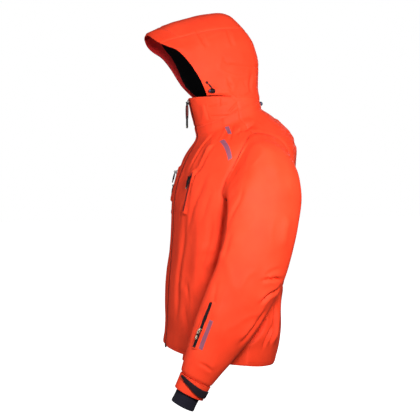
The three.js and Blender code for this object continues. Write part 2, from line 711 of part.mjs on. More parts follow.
function sleeves() {
  const arms = [
    ['left', 1, LEFT_SLEEVE, LEFT_CUFF, LEFT_GAITER],
    ['right', -1, RIGHT_SLEEVE, RIGHT_CUFF, RIGHT_GAITER],
  ];
  for (const [name, side, sleeve, cuff, gaiter] of arms) {
    const upper = [0, ELBOW_RING - ELBOW_GAP];
    const lower = [ELBOW_RING + ELBOW_GAP, sleeve.length - 1];
    piece(`${name}_upper_sleeve`, tube(sleeve, side, upper, [20, 7], SHELL), ORANGE);
    piece(`${name}_lower_sleeve`, tube(sleeve, side, lower, [20, 5], SHELL), ORANGE);
    piece(`${name}_cuff_band`, tube(cuff, side, [0, cuff.length - 1], [20, 2], SHELL), ORANGE);
    const knit = tube(gaiter, side, [0, gaiter.length - 1], [16, 2], KNIT);
    piece(`${name}_wrist_gaiter`, knit, LINING_BLACK);
    piece(`${name}_cuff_landing`, patch(cuff, side, CUFF_LANDING), LINING_BLACK);
    piece(`${name}_cuff_tab`, patch(cuff, side, CUFF_TAB), WEBBING_BLACK);
  }
}

function forearmZip() {
  const { ring, ringPitch, angle, length, slider } = FOREARM_ZIP;
  const at = (s, phi) => sleevePoint(LEFT_SLEEVE, 1, s, phi);
  const reach = length / 2 / ringPitch;
  const mid = at(ring, angle);
  const up = at(ring - reach, angle).sub(at(ring + reach, angle)).normalize();
  const across = at(ring, angle + 0.1).sub(at(ring, angle - 0.1));
  const out = up.clone().cross(across).normalize();
  if (out.dot(mid.clone().sub(sleeveCentre(LEFT_SLEEVE, 1, ring))) < 0) out.negate();
  const frame = zipFrame(mid.addScaledVector(out, ZIP_LIFT), up, out);
  flatTape('forearm_zip_tape', frame, 9, length, THIN);
  sliderAndPull('forearm_zip', frame, slider, [8, 10], [7, 26, 1.5]);
}

bodyPanels();
collar();
frontZip();
mainSlider();
chestZips();
hangerLoop();
hood();
hoodAdjusters();
sleeves();
forearmZip();

export default jacket;
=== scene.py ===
import json
import math

import bmesh
import bpy
import numpy as np
from mathutils import Matrix, Vector, noise


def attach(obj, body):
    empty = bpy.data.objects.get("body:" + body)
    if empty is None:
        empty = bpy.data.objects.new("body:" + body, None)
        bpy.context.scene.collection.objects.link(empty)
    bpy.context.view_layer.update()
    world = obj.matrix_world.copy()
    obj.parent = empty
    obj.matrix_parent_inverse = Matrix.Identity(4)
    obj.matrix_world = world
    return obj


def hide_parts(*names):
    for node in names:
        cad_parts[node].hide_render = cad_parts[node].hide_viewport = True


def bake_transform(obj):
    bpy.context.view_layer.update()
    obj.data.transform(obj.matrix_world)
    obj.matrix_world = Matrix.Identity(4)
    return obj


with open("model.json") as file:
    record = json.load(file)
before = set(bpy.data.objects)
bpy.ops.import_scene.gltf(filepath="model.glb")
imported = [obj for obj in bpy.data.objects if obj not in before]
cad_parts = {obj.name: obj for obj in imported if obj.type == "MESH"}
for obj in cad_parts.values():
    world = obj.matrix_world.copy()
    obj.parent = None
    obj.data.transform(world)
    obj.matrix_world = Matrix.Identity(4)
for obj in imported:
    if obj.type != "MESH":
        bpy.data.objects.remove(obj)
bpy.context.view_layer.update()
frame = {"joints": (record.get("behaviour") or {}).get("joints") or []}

# Jacket coordinates are millimetres above the front hem; the frame's origin is at HOOK.
HOOK = np.array([0.0, 88.0, 707.0])
MM = 0.001


def place(p):
    """Jacket coordinates in the frame's metres."""
    return (np.asarray(p, float) - HOOK) * MM


def add_object(name, data):
    o = bpy.data.objects.new(name, data)
    bpy.context.scene.collection.objects.link(o)
    return o


# ---- camera -------------------------------------------------------------
def add_camera():
    """The picture's view: of the wearer's left side, turned a little to the front."""
    azimuth, elevation, distance = math.radians(77.5), math.radians(3.1), 2.45
    away = Vector((
        math.sin(azimuth) * math.cos(elevation),
        -math.cos(azimuth) * math.cos(elevation),
        math.sin(elevation),
    ))
    right = Vector((math.cos(azimuth), math.sin(azimuth), 0))
    up = away.cross(right)
    aim = Vector((0, -0.088, -0.315)) - right * 0.037 + up * 0.0018
    data = bpy.data.cameras.new("camera")
    data.lens = 70.95
    data.sensor_width = 36
    data.clip_end = 50
    camera = add_object("camera", data)
    turned = Matrix((right, up, away)).transposed().to_4x4()
    camera.matrix_world = Matrix.Translation(aim + away * distance) @ turned
    bpy.context.scene.camera = camera


add_camera()

# ---- the shapes of the jacket, as the frame has them --------------------
FRONT_POWER, BACK_POWER = 2.1, 2.5
SIDE_SEAM = 1.66
ZIP_HALF = 7.0
# Rings of the body: height at the front and at the back, half width, y at the front and at the back,
# y of the widest place.
BODY = np.array([
    [0, -44, 203, -174, 140, 0], [53, 20, 206, -169, 156, 2], [160, 150, 208, -164, 163, 6],
    [304, 300, 210, -152, 182, 20], [420, 420, 212, -146, 194, 34], [475, 480, 212, -136, 200, 42],
    [520, 532, 210, -120, 204, 46], [548, 572, 205, -107, 205, 46], [568, 604, 188, -96, 200, 44],
    [583, 630, 160, -87, 186, 38], [596, 655, 130, -80, 164, 30], [607, 676, 108, -77, 136, 22],
    [614, 690, 97, -77, 112, 16],
], float)
COLLAR_TOP = np.array([720, 722, 92, -103, 104, 4], float)
COLLAR_ROWS = 4
COLLAR_STEP = (COLLAR_TOP - BODY[-1]) / COLLAR_ROWS
NECK = np.concatenate([BODY, [BODY[-1] + COLLAR_STEP * k for k in range(1, COLLAR_ROWS + 1)]])
TOP_ROW = len(NECK) - 1
NECK_START = len(BODY) - 1
YOKE_RING = 7.4
ARMHOLE = np.array([165.0, 46.0, 505.0])
ARMHOLE_TILT = 0.262
# Rings of a sleeve: x and z of its inner and outer side, y, lean and depth.
SHOULDER = [
    [194.2, 396.8, 136.2, 613.2, 46, 0, 112], [201, 400, 180, 606, 47, 0, 112],
    [208.5, 402, 222, 584, 50, 0, 111], [214, 396, 259, 541, 53, 0, 109],
    [216, 378, 287, 482, 54, 0.03, 105], [216, 352, 303, 410, 50, 0.09, 100],
]
SLEEVE = {
    "left": np.array(SHOULDER + [
        [216, 302, 315, 330, 36, 0.17, 96], [216, 236, 321, 243, 12, 0.3, 95],
        [216, 172, 321, 172, -20, 0.42, 90], [217, 110, 318, 110, -53, 0.49, 82],
        [219, 50, 313, 50, -87, 0.49, 69], [222, 0, 309, 0, -115, 0.49, 56],
        [225, -38, 305, -38, -135, 0.49, 45],
    ], float),
    "right": np.array(SHOULDER + [
        [216, 300, 315, 322, 42, 0.1, 96], [216, 230, 321, 232, 32, 0.14, 93],
        [216, 160, 321, 160, 20, 0.18, 86], [217, 92, 318, 92, 8, 0.18, 78],
        [219, 22, 313, 22, -5, 0.18, 66], [222, -34, 309, -34, -15, 0.18, 54],
        [225, -76, 305, -76, -23, 0.18, 45],
    ], float),
}
CUFF = {
    "left": np.array([
        [225, -38.8, 305, -38.8, -135.4, 0.49, 45], [227, -57, 303, -57, -145, 0.49, 43],
        [228, -75, 302, -75, -154, 0.49, 42],
    ], float),
    "right": np.array([
        [225, -76.8, 305, -76.8, -23.1, 0.18, 45], [227, -99, 303, -99, -27, 0.18, 43],
        [228, -120, 302, -120, -31, 0.18, 42],
    ], float),
}
GAITER = {
    "left": np.array([
        [233, -57, 297, -57, -146, 0.49, 35], [234, -77, 296, -77, -156, 0.49, 33],
        [234, -94, 296, -94, -165, 0.49, 32.5], [233, -106, 297, -106, -171, 0.49, 33.5],
    ], float),
    "right": np.array([
        [233, -99, 297, -99, -27, 0.18, 35], [234, -121, 296, -121, -31, 0.18, 33],
        [234, -142, 296, -142, -35, 0.18, 32.5], [233, -156, 297, -156, -38, 0.18, 33.5],
    ], float),
}
# The hood's outline in the middle plane: (y, z).
HOOD_FRONT = np.array([[-66, 723], [-80, 742], [-94, 762], [-110, 786], [-130, 815],
                       [-158, 845], [-190, 862], [-213, 878], [-228, 899]], float)
HOOD_BACK = np.array([[104, 723], [100, 740], [99, 790], [99, 828], [93, 857], [82, 888],
                      [53, 927], [22, 962]], float)
HOOD_TOP = np.array([[-228, 899], [-212, 910], [-182, 923], [-147, 938], [-93, 954], [-45, 965],
                     [-9, 969], [22, 962]], float)
HOOD_NECK = np.array([[-66, 723], [-5, 722.8], [50, 723.4], [104, 723]], float)
# Half widths from the neck to the top.
HOOD_WIDE_FRONT = np.array([88, 98, 104, 108, 108, 107, 103, 98, 92], float)[:, None]
HOOD_WIDE_BACK = np.array([92, 96, 100, 103, 104, 104, 102, 99, 95], float)[:, None]
HOOD_TURN = 0.085  # how far the head is turned, y for x
CROWN, BRIM = 0.8, 0.27
SIDES = {"left": 1.0, "right": -1.0}


def lerp(a, b, t):
    return a + (b - a) * t


def smooth(low, high, v):
    t = np.clip((v - low) / (high - low), 0, 1)
    return t * t * (3 - 2 * t)


def both(u, v):
    return np.broadcast_arrays(np.asarray(u, float), np.asarray(v, float))


def unit(v):
    v = np.asarray(v, float)
    return v / np.maximum(np.linalg.norm(v, axis=-1, keepdims=True), 1e-9)


def halve(low, high, steps, is_below):
    """The value between low and high up to which is_below holds."""
    for _ in range(steps):
        mid = (low + high) / 2
        below = is_below(mid)
        low, high = np.where(below, mid, low), np.where(below, high, mid)
    return low


def interp(d, length, points):
    """Points at distances d of a line of points, whose own distances are in length."""
    return np.stack([np.interp(d, length, c) for c in np.transpose(points)], -1)


def running(p, axis=0):
    """Distance along an axis of a grid of points, from its start."""
    steps = np.cumsum(np.linalg.norm(np.diff(p, axis=axis), axis=-1), axis)
    return np.concatenate([np.zeros_like(steps.take([0], axis)), steps], axis)


def rows(table, s):
    """Catmull-Rom value of a table at row number s."""
    s = np.asarray(s, float)
    i = np.clip(np.floor(s).astype(int), 0, len(table) - 2)
    t = (s - i)[..., None]
    p0, p1, p2, p3 = (table[np.clip(i + k, 0, len(table) - 1)] for k in (-1, 0, 1, 2))
    a = 2 * p0 - 5 * p1 + 4 * p2 - p3
    b = -p0 + 3 * p1 - 3 * p2 + p3
    return 0.5 * (2 * p1 + (p2 - p0) * t + a * t ** 2 + b * t ** 3)


def ring(row, theta):
    """A point of the body's ring at an angle from the centre front."""
    z0, z1, half, y0, y1, wide = np.moveaxis(row, -1, 0)
    c, s = np.cos(theta), np.sin(theta)
    power = np.where(c > 0, 2 / FRONT_POWER, 2 / BACK_POWER)
    x = half * np.sign(s) * np.abs(s) ** power
    y = wide + (np.where(c > 0, y0, y1) - wide) * np.abs(c) ** power
    return np.stack([x, y, lerp(z0, z1, (y - y0) / (y1 - y0))], -1)


def body_at(theta, s):
    """The body from hem to neck, and the collar above row NECK_START."""
    return ring(rows(NECK, s), theta)


def neck_seam(theta):
    """Row where the collar is sewn on: higher towards the nape."""
    return NECK_START + COLLAR_ROWS * lerp(0.23, 0.62, smooth(0.2, 1, (1 - np.cos(theta)) / 2))


def angle_at(row, x, power=FRONT_POWER):
    return np.sign(x) * np.arcsin(np.abs(x / row[..., 2]) ** (power / 2))


def body_xz(x, z, back=False):
    """Point of the body's front or back at a given x and z."""
    x, z = both(x, z)

    def point(s):
        row = rows(NECK, s)
        return ring(row, math.pi - angle_at(row, x, BACK_POWER) if back else angle_at(row, x))
    return point(halve(0 * x, float(TOP_ROW), 30, lambda s: point(s)[..., 2] < z))


def armhole_frame(side):
    n = np.array([math.cos(ARMHOLE_TILT) * side, 0, math.sin(ARMHOLE_TILT)])
    up = np.array([-math.sin(ARMHOLE_TILT) * side, 0, math.cos(ARMHOLE_TILT)])
    return ARMHOLE * [side, 1, 1], n, up


SEAM_TURN = 1.06  # direction of the straight front seam, from the top of the armhole towards the front


def straightened(radius, distance, phi):
    """A round radius cut by a straight seam at a distance from the centre."""
    turn = np.mod(np.asarray(phi, float) - SEAM_TURN + math.pi, 2 * math.pi) - math.pi
    chord = distance / np.maximum(np.cos(turn), 0.05)
    blend = 14.0
    return -blend * np.log(np.exp(-radius / blend) + np.exp(-chord / blend))


def armhole_radius(phi):
    """The armhole is round but for its front, where the seam runs straight from shoulder to armpit."""
    return straightened(115.0, 60.0, phi)


def armhole_polar(p, side):
    """Angle from the top towards the front, and distance outside the edge of the armhole."""
    centre, n, up = armhole_frame(side)
    d = p - centre
    flat = d - (d @ n)[..., None] * n
    phi = np.arctan2(-flat[..., 1], flat @ up)
    gap = np.linalg.norm(flat, axis=-1) - armhole_radius(phi)
    return phi, np.where(p[..., 0] * side > 0, gap, 1e9)


def inside_body(p):
    """Negative inside the body, positive outside."""
    x, y, z = np.moveaxis(p, -1, 0)

    def is_below(s):
        z0, z1, _, y0, y1, _ = np.moveaxis(rows(BODY, s), -1, 0)
        return lerp(z0, z1, (y - y0) / (y1 - y0)) < z
    level = halve(0 * x, len(BODY) - 1.0, 24, is_below)
    _, _, half, y0, y1, wide = np.moveaxis(rows(BODY, level), -1, 0)
    front = y < wide
    power = np.where(front, FRONT_POWER, BACK_POWER)
    reach = np.abs(np.where(front, y0, y1) - wide)
    return np.abs(x / half) ** power + np.abs((y - wide) / reach) ** power - 1


def armhole_edge(side, phi):
    """The edge of the armhole on the body, at angle phi from the top towards the front."""
    centre, n, up = armhole_frame(side)
    phi = np.asarray(phi, float)[..., None]
    rim = centre + armhole_radius(phi) * (np.cos(phi) * up - np.sin(phi) * np.array([0, 1.0, 0]))
    out = halve(np.full(phi.shape, -60.0), 80.0, 24, lambda g: inside_body(rim + g * n)[..., None] < 0)
    return rim + out * n


EDGE_PHI = np.linspace(0, 2 * math.pi, 181)
EDGE = {side: armhole_edge(side, EDGE_PHI) for side in (1.0, -1.0)}


def edge_at(side, phi):
    return interp(np.mod(phi, 2 * math.pi), EDGE_PHI, EDGE[side])


def tube_at(table, side, s, phi):
    """A sleeve or cuff at row s, at an angle from its outer side towards the front."""
    ix, iz, ox, oz, y, lean, depth = np.moveaxis(rows(table, s), -1, 0)
    centre = np.stack([(ix + ox) / 2, y, (iz + oz) / 2], -1)
    out = np.stack([(ox - ix) / 2, 0 * y, (oz - iz) / 2], -1)
    back = np.stack([0 * y, np.cos(lean) * depth, -np.sin(lean) * depth], -1)
    p = centre + out * np.cos(phi)[..., None] - back * np.sin(phi)[..., None]
    return p * [side, 1, 1]


def tube_centre(table, side, s):
    s = np.asarray(s, float)
    return (tube_at(table, side, s, 0 * s) + tube_at(table, side, s, 0 * s + math.pi)) / 2


def sleeve_at(name, s, phi):
    """The sleeve's surface, gathered onto the edge of the armhole at its head."""
    side, table = SIDES[name], SLEEVE[name]
    middle = tube_centre(table, side, s)
    cut = straightened(112.0, np.interp(s, [0, 2, 3, 4, 5.5], [58, 66, 78, 98, 150]), phi) / 112
    p = middle + (tube_at(table, side, s, phi) - middle) * np.minimum(cut, 1)[..., None]
    gathered = edge_at(side, phi) + (middle - tube_centre(table, side, 0 * s))
    return lerp(gathered, p, smooth(0, 1.6, s)[..., None])


def along(points, t):
    return rows(points, np.asarray(t, float) * (len(points) - 1))


def hood_at(side, u, v):
    """The hood's side, u from the face opening to the back and v from the neck to the top."""
    u, v = both(u, v)
    f, k, n, t = along(HOOD_FRONT, v), along(HOOD_BACK, v), along(HOOD_NECK, u), along(HOOD_TOP, u)
    uu, vv = u[..., None], v[..., None]
    corners = lerp(lerp(HOOD_FRONT[0], HOOD_BACK[0], uu), lerp(HOOD_TOP[0], HOOD_TOP[-1], uu), vv)
    yz = lerp(n, t, vv) + lerp(f, k, uu) - corners
    blend = np.clip(1.6 * u, 0, 1)
    closing = np.sqrt(np.maximum(1 - np.clip(v, 0, 1) ** lerp(3, 5.5, blend), 0))
    wide = lerp(along(HOOD_WIDE_FRONT, v)[..., 0], along(HOOD_WIDE_BACK, v)[..., 0], blend)
    x = side * closing * wide * np.maximum(1 - np.clip(u, 0, 1) ** 2.4, 0) ** (1 / 2.4)
    turn = HOOD_TURN * np.clip((yz[..., 1] - 723) / 40, 0, 1)
    return np.stack([x, yz[..., 0] + turn * x, yz[..., 1]], -1)


def skirt(side, u, v):
    """The hood's side, with a lower edge that hangs over the collar behind the ear (v below 0)."""
    below = np.minimum(v, 0)
    p = hood_at(side, u, np.maximum(v, 0))
    out = np.stack([p[..., 0], p[..., 1] - 8, 0 * p[..., 0]], -1)
    out /= np.maximum(np.linalg.norm(out, axis=-1, keepdims=True), 1e-6)
    return p + below[..., None] * np.array([0, 0, 190.0]) - below[..., None] * 35 * out


def skirt_depth(u):
    return -0.14 * smooth(0.28, 0.62, u) * (1 - smooth(0.88, 0.97, u))


def crowd(i):
    """Steps that lie closer together towards 1."""
    i = np.asarray(i, float)
    return np.where((i < 0) | (i > 1), i, 1 - np.abs(1 - i) ** 1.8)


# ---- folds --------------------------------------------------------------
def fine(points, steps=6):
    """More points on the smooth line through a few."""
    points = np.asarray(points, float)
    if len(points) == 2:
        return lerp(points[0], points[1], np.linspace(0, 1, steps)[:, None])
    return rows(points, np.linspace(0, len(points) - 1, steps * (len(points) - 1)))


def fold_field(p, n, folds):
    """Height from a list of folds: (points, height, width on the left, width on the right, taper)."""
    flat_p, flat_n = p.reshape(-1, 3), n.reshape(-1, 3)
    total = np.zeros(len(flat_p))
    for points, height, left, right, taper in folds:
        line = fine(points)
        reach = 3 * max(left, right)
        near = np.all((flat_p > line.min(0) - reach) & (flat_p < line.max(0) + reach), 1)
        where = np.nonzero(near)[0]
        if not len(where):
            continue
        q, normal = flat_p[where], flat_n[where]
        best, signed, progress = np.full(len(q), 1e9), np.zeros(len(q)), np.zeros(len(q))
        count = len(line) - 1
        for k in range(count):
            a, d = line[k], line[k + 1] - line[k]
            t = np.clip(((q - a) @ d) / (d @ d), 0, 1)
            away = q - (a + t[:, None] * d)
            dist = np.linalg.norm(away, axis=1)
            closer = dist < best
            best = np.where(closer, dist, best)
            sign = np.sign(np.einsum("ij,ij->i", np.cross(d, normal), away))
            signed = np.where(closer, sign * dist, signed)
            progress = np.where(closer, (k + t) / count, progress)
        width = np.where(signed < 0, left, right)
        fade = smooth(0, 1, np.minimum(progress, 1 - progress) / taper)
        total[where] += height * np.exp(-(signed / width) ** 2) * fade
    return total.reshape(p.shape[:-1])


def noise_field(p, scale, seed):
    """Smooth noise from -1 to 1; scale is the size of a ripple along x, y and z in mm."""
    flat = p.reshape(-1, 3) / np.asarray(scale, float) + seed
    values = [noise.noise(Vector(q)) for q in flat.tolist()]
    return np.array(values).reshape(p.shape[:-1])


def wrinkles(p, scale, seed, width=0.09):
    """Thin soft ridges that come and go, as in a light shell that hangs free."""
    line = noise_field(p, scale, seed)
    where = noise_field(p, [1.5 * k for k in scale], seed + 40)
    return np.exp(-(line / width) ** 2) * smooth(-0.05, 0.3, where)


# ---- building meshes ----------------------------------------------------
def normals_of(at, u, v, centre, h=0.004):
    """Normals of a surface at(u, v), all pointing away from centre(p)."""
    n = unit(np.cross(at(u + h, v) - at(u - h, v), at(u, v + h) - at(u, v - h)))
    p = at(u, v)
    return n * (-1 if (n * (p - centre(p))).sum() < 0 else 1)


def quads(columns, count, closed):
    """Quads of a grid of points, count points to a column."""
    i = np.arange(columns if closed else columns - 1)[:, None] * count
    j = np.arange(count - 1)[None, :]
    nxt = (i + count) % (columns * count)
    return np.stack([i + j, nxt + j, nxt + j + 1, i + j + 1], -1).reshape(-1, 4)


def quad_edges(faces):
    return np.concatenate([faces[:, [k, (k + 1) % 4]] for k in range(4)])


def mesh_object(name, mesh, materials, face_slots=None, uv=None, sharp=50):
    """An object from (points, faces) in jacket coordinates."""
    points, faces = mesh
    mesh = bpy.data.meshes.new(name)
    mesh.from_pydata(place(points).tolist(), [], [list(f) for f in faces])
    for m in materials:
        mesh.materials.append(m)
    if face_slots is not None:
        mesh.polygons.foreach_set("material_index", np.asarray(face_slots, np.int32))
    if uv is not None:
        layer = mesh.uv_layers.new(name="cloth")
        loops = np.zeros(len(mesh.loops), np.int32)
        mesh.loops.foreach_get("vertex_index", loops)
        layer.data.foreach_set("uv", uv[loops].astype(np.float32).ravel())
    mesh.polygons.foreach_set("use_smooth", np.ones(len(mesh.polygons), bool))
    mesh.set_sharp_from_angle(angle=math.radians(sharp))
    mesh.update()
    return add_object(name, mesh)


def close_sheet(outer, inner, faces):
    """Closed solid from two layers of the same faces, and the material slot of each of its faces."""
    count = len(outer)
    edges = quad_edges(faces)
    edges = edges[edges[:, 0] != edges[:, 1]].tolist()
    keys = set(map(tuple, edges))
    rim = [(b, a, a + count, b + count) for a, b in edges if (b, a) not in keys]
    every = faces.tolist() + (faces[:, ::-1] + count).tolist() + rim
    slots = [0] * len(faces) + [1] * len(faces) + [0] * len(rim)
    return (np.concatenate([outer, inner]), every), slots


LEAST_SHEET = 0.0101  # metres; only a wider strip's size is scaled to its area
SPARE = 1.001  # keeps a sheet's width times its length above its area


def fabric(name, at, shape, centre, thickness, looks, relief=None, lift=0.0, roll=(1.6, 3.0), keep=None,
           snap=None, closed=False, rolled="uUvV"):
    """A piece of cloth over a surface at(u, v), with the height that relief gives, as a closed thin solid.
    roll is how far and over what width its edges dip, on the edges that rolled names. keep picks the quads
    that stay, and snap says where the points of the new edge go."""
    columns, rows_ = shape
    u = np.linspace(0, 1, columns + 1)[: columns if closed else columns + 1]
    uu, vv = np.meshgrid(u, np.linspace(0, 1, rows_ + 1), indexing="ij")
    p = at(uu, vv)
    n = normals_of(at, uu, vv, centre)
    height = np.full(uu.shape, float(lift))
    if relief is not None:
        height = height + relief(p, n, uu, vv)
    depth, reach = roll
    run_u, run_v = running(p, 0), running(p, 1)
    for key, gone in (("u", run_u), ("U", run_u[-1:] - run_u), ("v", run_v), ("V", run_v[:, -1:] - run_v)):
        if key in rolled and not (closed and key in "uU"):
            height = height - depth * np.exp(-(gone / reach) ** 2)
    base = p.reshape(-1, 3)
    outer = (p + n * height[..., None]).reshape(-1, 3)
    inner = outer - n.reshape(-1, 3) * thickness
    uv = np.stack(np.meshgrid(run_u[:, rows_ // 2], run_v[columns // 2], indexing="ij"), -1).reshape(-1, 2) * MM
    faces = quads(len(u), rows_ + 1, closed)
    if keep is not None:
        faces = faces[keep(base[faces].mean(1))]
        edges, counts = np.unique(np.sort(quad_edges(faces), 1), axis=0, return_counts=True)
        border = np.unique(edges[counts == 1])
        target, near = snap(base[border])
        moved = (target - outer[border]) * near[:, None]
        outer[border] += moved
        inner[border] += moved
        used = np.unique(faces)
        faces = np.searchsorted(used, faces)
        base, outer, inner, uv = (q[used] for q in (base, outer, inner, uv))
    a, b, c, d = (base[faces[:, k]] for k in range(4))
    area = sum(np.linalg.norm(np.cross(q, c - a), axis=1).sum() for q in (b - a, d - a)) / 2 * MM * MM
    a, b, c, d = (outer[faces[:, k]] for k in range(4))
    if (np.cross(b - a, c - a) * (outer - inner)[faces[:, 0]]).sum() < 0:
        faces = faces[:, ::-1]
    solid, slots = close_sheet(outer, inner, faces)
    o = mesh_object(name, solid, looks, slots, np.concatenate([uv, uv]))
    around = run_u[-1] + (np.linalg.norm(p[0] - p[-1], axis=-1) if closed else 0)
    size = np.array([around.max(), run_v[:, -1].max()]) * MM
    if size.min() > LEAST_SHEET:
        size *= math.sqrt(max(area / size.prod(), 1)) * SPARE
    return o


def cloth(name, body, slot, at, shape, centre, thickness, looks, *rest, cad=True, **more):
    """A piece of cloth that rides on a body, and stands for the CAD node of the same name unless cad is off."""
    o = fabric(name, at, shape, centre, thickness, looks, *rest, **more)
    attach(o, body)
    if cad:
        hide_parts(name)


# ---- materials ----------------------------------------------------------
def feed(tree, node, inputs):
    """Sets a node's inputs, and links those that are given as another node's output."""
    for key, value in inputs.items():
        if isinstance(value, bpy.types.NodeSocket):
            tree.links.new(value, node.inputs[key])
        else:
            node.inputs[key].default_value = value


def add_node(tree, kind, inputs=None, out=0, **settings):
    """The output of a new shader node."""
    node = tree.nodes.new("ShaderNode" + kind)
    for key, value in settings.items():
        setattr(node, key, value)
    feed(tree, node, inputs or {})
    return node.outputs[out]


def new_material(name):
    m = bpy.data.materials.new(name)
    m.use_nodes = True
    return m, m.node_tree, m.node_tree.nodes["Principled BSDF"]


def ramp(tree, value, low, dark, high, bright):
    """A colour that runs from dark, where the value is low, to bright, where it is high."""
    output = add_node(tree, "ValToRGB", {"Fac": value})
    stops = output.node.color_ramp.elements
    for stop, at, colour in zip(stops, (low, high), (dark, bright)):
        stop.position = at
        stop.color = (*colour, 1) if isinstance(colour, tuple) else (colour, colour, colour, 1)
    return output


def rubbed(tree, base, low, high, most, colour):
    """The base colour, with another one on its edges and high spots."""
    amount = ramp(tree, add_node(tree, "NewGeometry", out="Pointiness"), low, 0, high, most)
    return add_node(tree, "MixRGB", {"Fac": amount, "Color1": base, "Color2": (*colour, 1)})


def cloth_material(name, colour, dark, weave=1.1, roughness=0.62, sheen=0.15, bump=0.25, rib=False):
    """Woven cloth: two crossed threads from the cloth's own UVs, soft blotches and rubbed high spots.
    weave is the distance of the threads in mm."""
    m, tree, shader = new_material(name)
    scaled = add_node(tree, "Mapping", {
        "Vector": add_node(tree, "UVMap", uv_map="cloth"), "Scale": (1000 / weave,) * 3,
    })
    threads = [
        add_node(tree, "TexWave", {"Vector": scaled, "Scale": scale, "Distortion": 0.6, "Detail": 1}, "Fac",
                 bands_direction=direction)
        for direction, scale in (("X", 0.314), ("Y", 0.1 if rib else 0.314))
    ]
    woven = add_node(tree, "Math", dict(enumerate(threads)), operation="MAXIMUM")
    coords = add_node(tree, "TexCoord", out="Object")
    blotch = add_node(tree, "TexNoise", {"Vector": coords, "Scale": 14, "Detail": 5})
    crinkle = add_node(tree, "TexNoise", {"Vector": coords, "Scale": 60, "Detail": 4})
    shaded = add_node(tree, "MixRGB", {
        "Fac": 0.3, "Color1": ramp(tree, blotch, 0.3, dark, 0.72, colour),
        "Color2": ramp(tree, woven, 0, 0.72, 0.8, 1),
    }, blend_type="MULTIPLY")
    thread_bump = add_node(tree, "Bump", {"Strength": bump, "Distance": 0.0004, "Height": woven})
    feed(tree, shader, {
        "Base Color": rubbed(tree, shaded, 0.5, 0.6, 0.35, [min(1, c * 1.18 + 0.012) for c in colour]),
        "Roughness": add_node(tree, "MapRange", {
            "Value": blotch, "To Min": roughness - 0.06, "To Max": roughness + 0.08,
        }),
        "Normal": add_node(tree, "Bump", {
            "Strength": 0.25, "Distance": 0.0012, "Height": crinkle, "Normal": thread_bump,
        }),
        "Specular IOR Level": 0.12, "Sheen Weight": sheen, "Sheen Roughness": 0.5,
        "Sheen Tint": (*[min(1, c + 0.25) for c in colour], 1),
    })
    return m


def hard_material(name, colour, roughness, metallic=0.0, wear=(0.3, 0.3, 0.3)):
    """Moulded plastic or coated metal with a fine grain and rubbed edges."""
    m, tree, shader = new_material(name)
    speck = add_node(tree, "TexNoise", {
        "Vector": add_node(tree, "TexCoord", out="Object"), "Scale": 180, "Detail": 6,
    })
    shade = ramp(tree, speck, 0.35, tuple(c * 0.7 for c in colour), 0.7, colour)
    feed(tree, shader, {
        "Base Color": rubbed(tree, shade, 0.58, 0.75, 0.16, wear),
        "Roughness": add_node(tree, "MapRange", {
            "Value": speck, "To Min": max(roughness - 0.1, 0.05), "To Max": roughness + 0.12,
        }),
        "Normal": add_node(tree, "Bump", {"Strength": 0.2, "Distance": 0.0002, "Height": speck}),
        "Metallic": metallic, "Specular IOR Level": 0.16,
    })
    return m


SHELL = cloth_material("shell_cloth", (0.90, 0.056, 0.018), (0.80, 0.044, 0.013), sheen=0.0)
FACING = cloth_material("facing_cloth", (0.82, 0.034, 0.036), (0.70, 0.026, 0.028),
                        weave=0.9, roughness=0.55, sheen=0.0)
LINING = cloth_material("lining_mesh", (0.012, 0.012, 0.014), (0.007, 0.007, 0.009),
                        weave=2.2, roughness=0.9, sheen=0.05, bump=0.6)
KNIT = cloth_material("rib_knit", (0.014, 0.013, 0.022), (0.007, 0.006, 0.012),
                      weave=2.4, roughness=0.95, sheen=0.08, bump=0.9, rib=True)
STRAP = cloth_material("hook_strap", (0.016, 0.010, 0.014), (0.009, 0.006, 0.008),
                       weave=1.6, roughness=0.85, sheen=0.05, bump=0.6)
WEBBING = cloth_material("webbing", (0.02, 0.018, 0.022), (0.01, 0.01, 0.012),
                         weave=1.8, roughness=0.8, sheen=0.08, bump=0.8)
TAPE = cloth_material("zip_tape_cloth", (0.50, 0.026, 0.014), (0.40, 0.02, 0.01), weave=0.9, roughness=0.6)
GREY = cloth_material("reflective_print", (0.26, 0.085, 0.13), (0.20, 0.06, 0.10),
                      weave=0.8, roughness=0.4, sheen=0.0)
BLACK = hard_material("moulded_black", (0.006, 0.005, 0.006), 0.62, wear=(0.05, 0.05, 0.05))
COIL = hard_material("zip_coil", (0.24, 0.016, 0.010), 0.5, wear=(0.2, 0.03, 0.02))
COIL_BLACK = hard_material("zip_coil_black", (0.009, 0.008, 0.009), 0.45, wear=(0.05, 0.04, 0.04))
DARK_METAL = hard_material("dark_metal", (0.10, 0.085, 0.08), 0.3, 0.9, wear=(0.5, 0.45, 0.42))
BRIGHT_METAL = hard_material("bright_metal", (0.75, 0.68, 0.5), 0.25, 1.0, wear=(0.9, 0.88, 0.8))
BROWN = hard_material("brown_rubber", (0.09, 0.012, 0.010), 0.5, wear=(0.2, 0.05, 0.04))
# Blue-grey of the lock buttons: a painted highlight, a colour that stands for the bright reflection on the black
# locks.
PAINTED_HIGHLIGHT_BLUE_GREY = hard_material("blue_grey_painted_highlight", (0.05, 0.06, 0.12), 0.35)
EYELET_RED = hard_material("eyelet_red", (0.12, 0.008, 0.012), 0.45)
THREAD = cloth_material("thread", (0.62, 0.035, 0.012), (0.5, 0.025, 0.01), weave=0.5, roughness=0.7)
LINED = [SHELL, LINING]  # outside and inside
SHELL_THICK, HOOD_THICK, FACING_THICK = 3.0, 2.4, 1.2  # mm, lining included


def body_centre(p):
    return p * [0, 0, 1] + [0, 20, -60]


def neck_centre(p):
    return p * [0, 0, 1] + [0, 8, 0]


def hood_centre(p):
    return 0 * p + [0, -20, 800]


def tube_middle(table, side):
    """For a point, the nearest point on the middle line of a sleeve or cuff."""
    line = tube_centre(table, side, np.linspace(0, len(table) - 1, 40))
    return lambda p: line[np.argmin(((p[..., None, :] - line) ** 2).sum(-1), -1)]


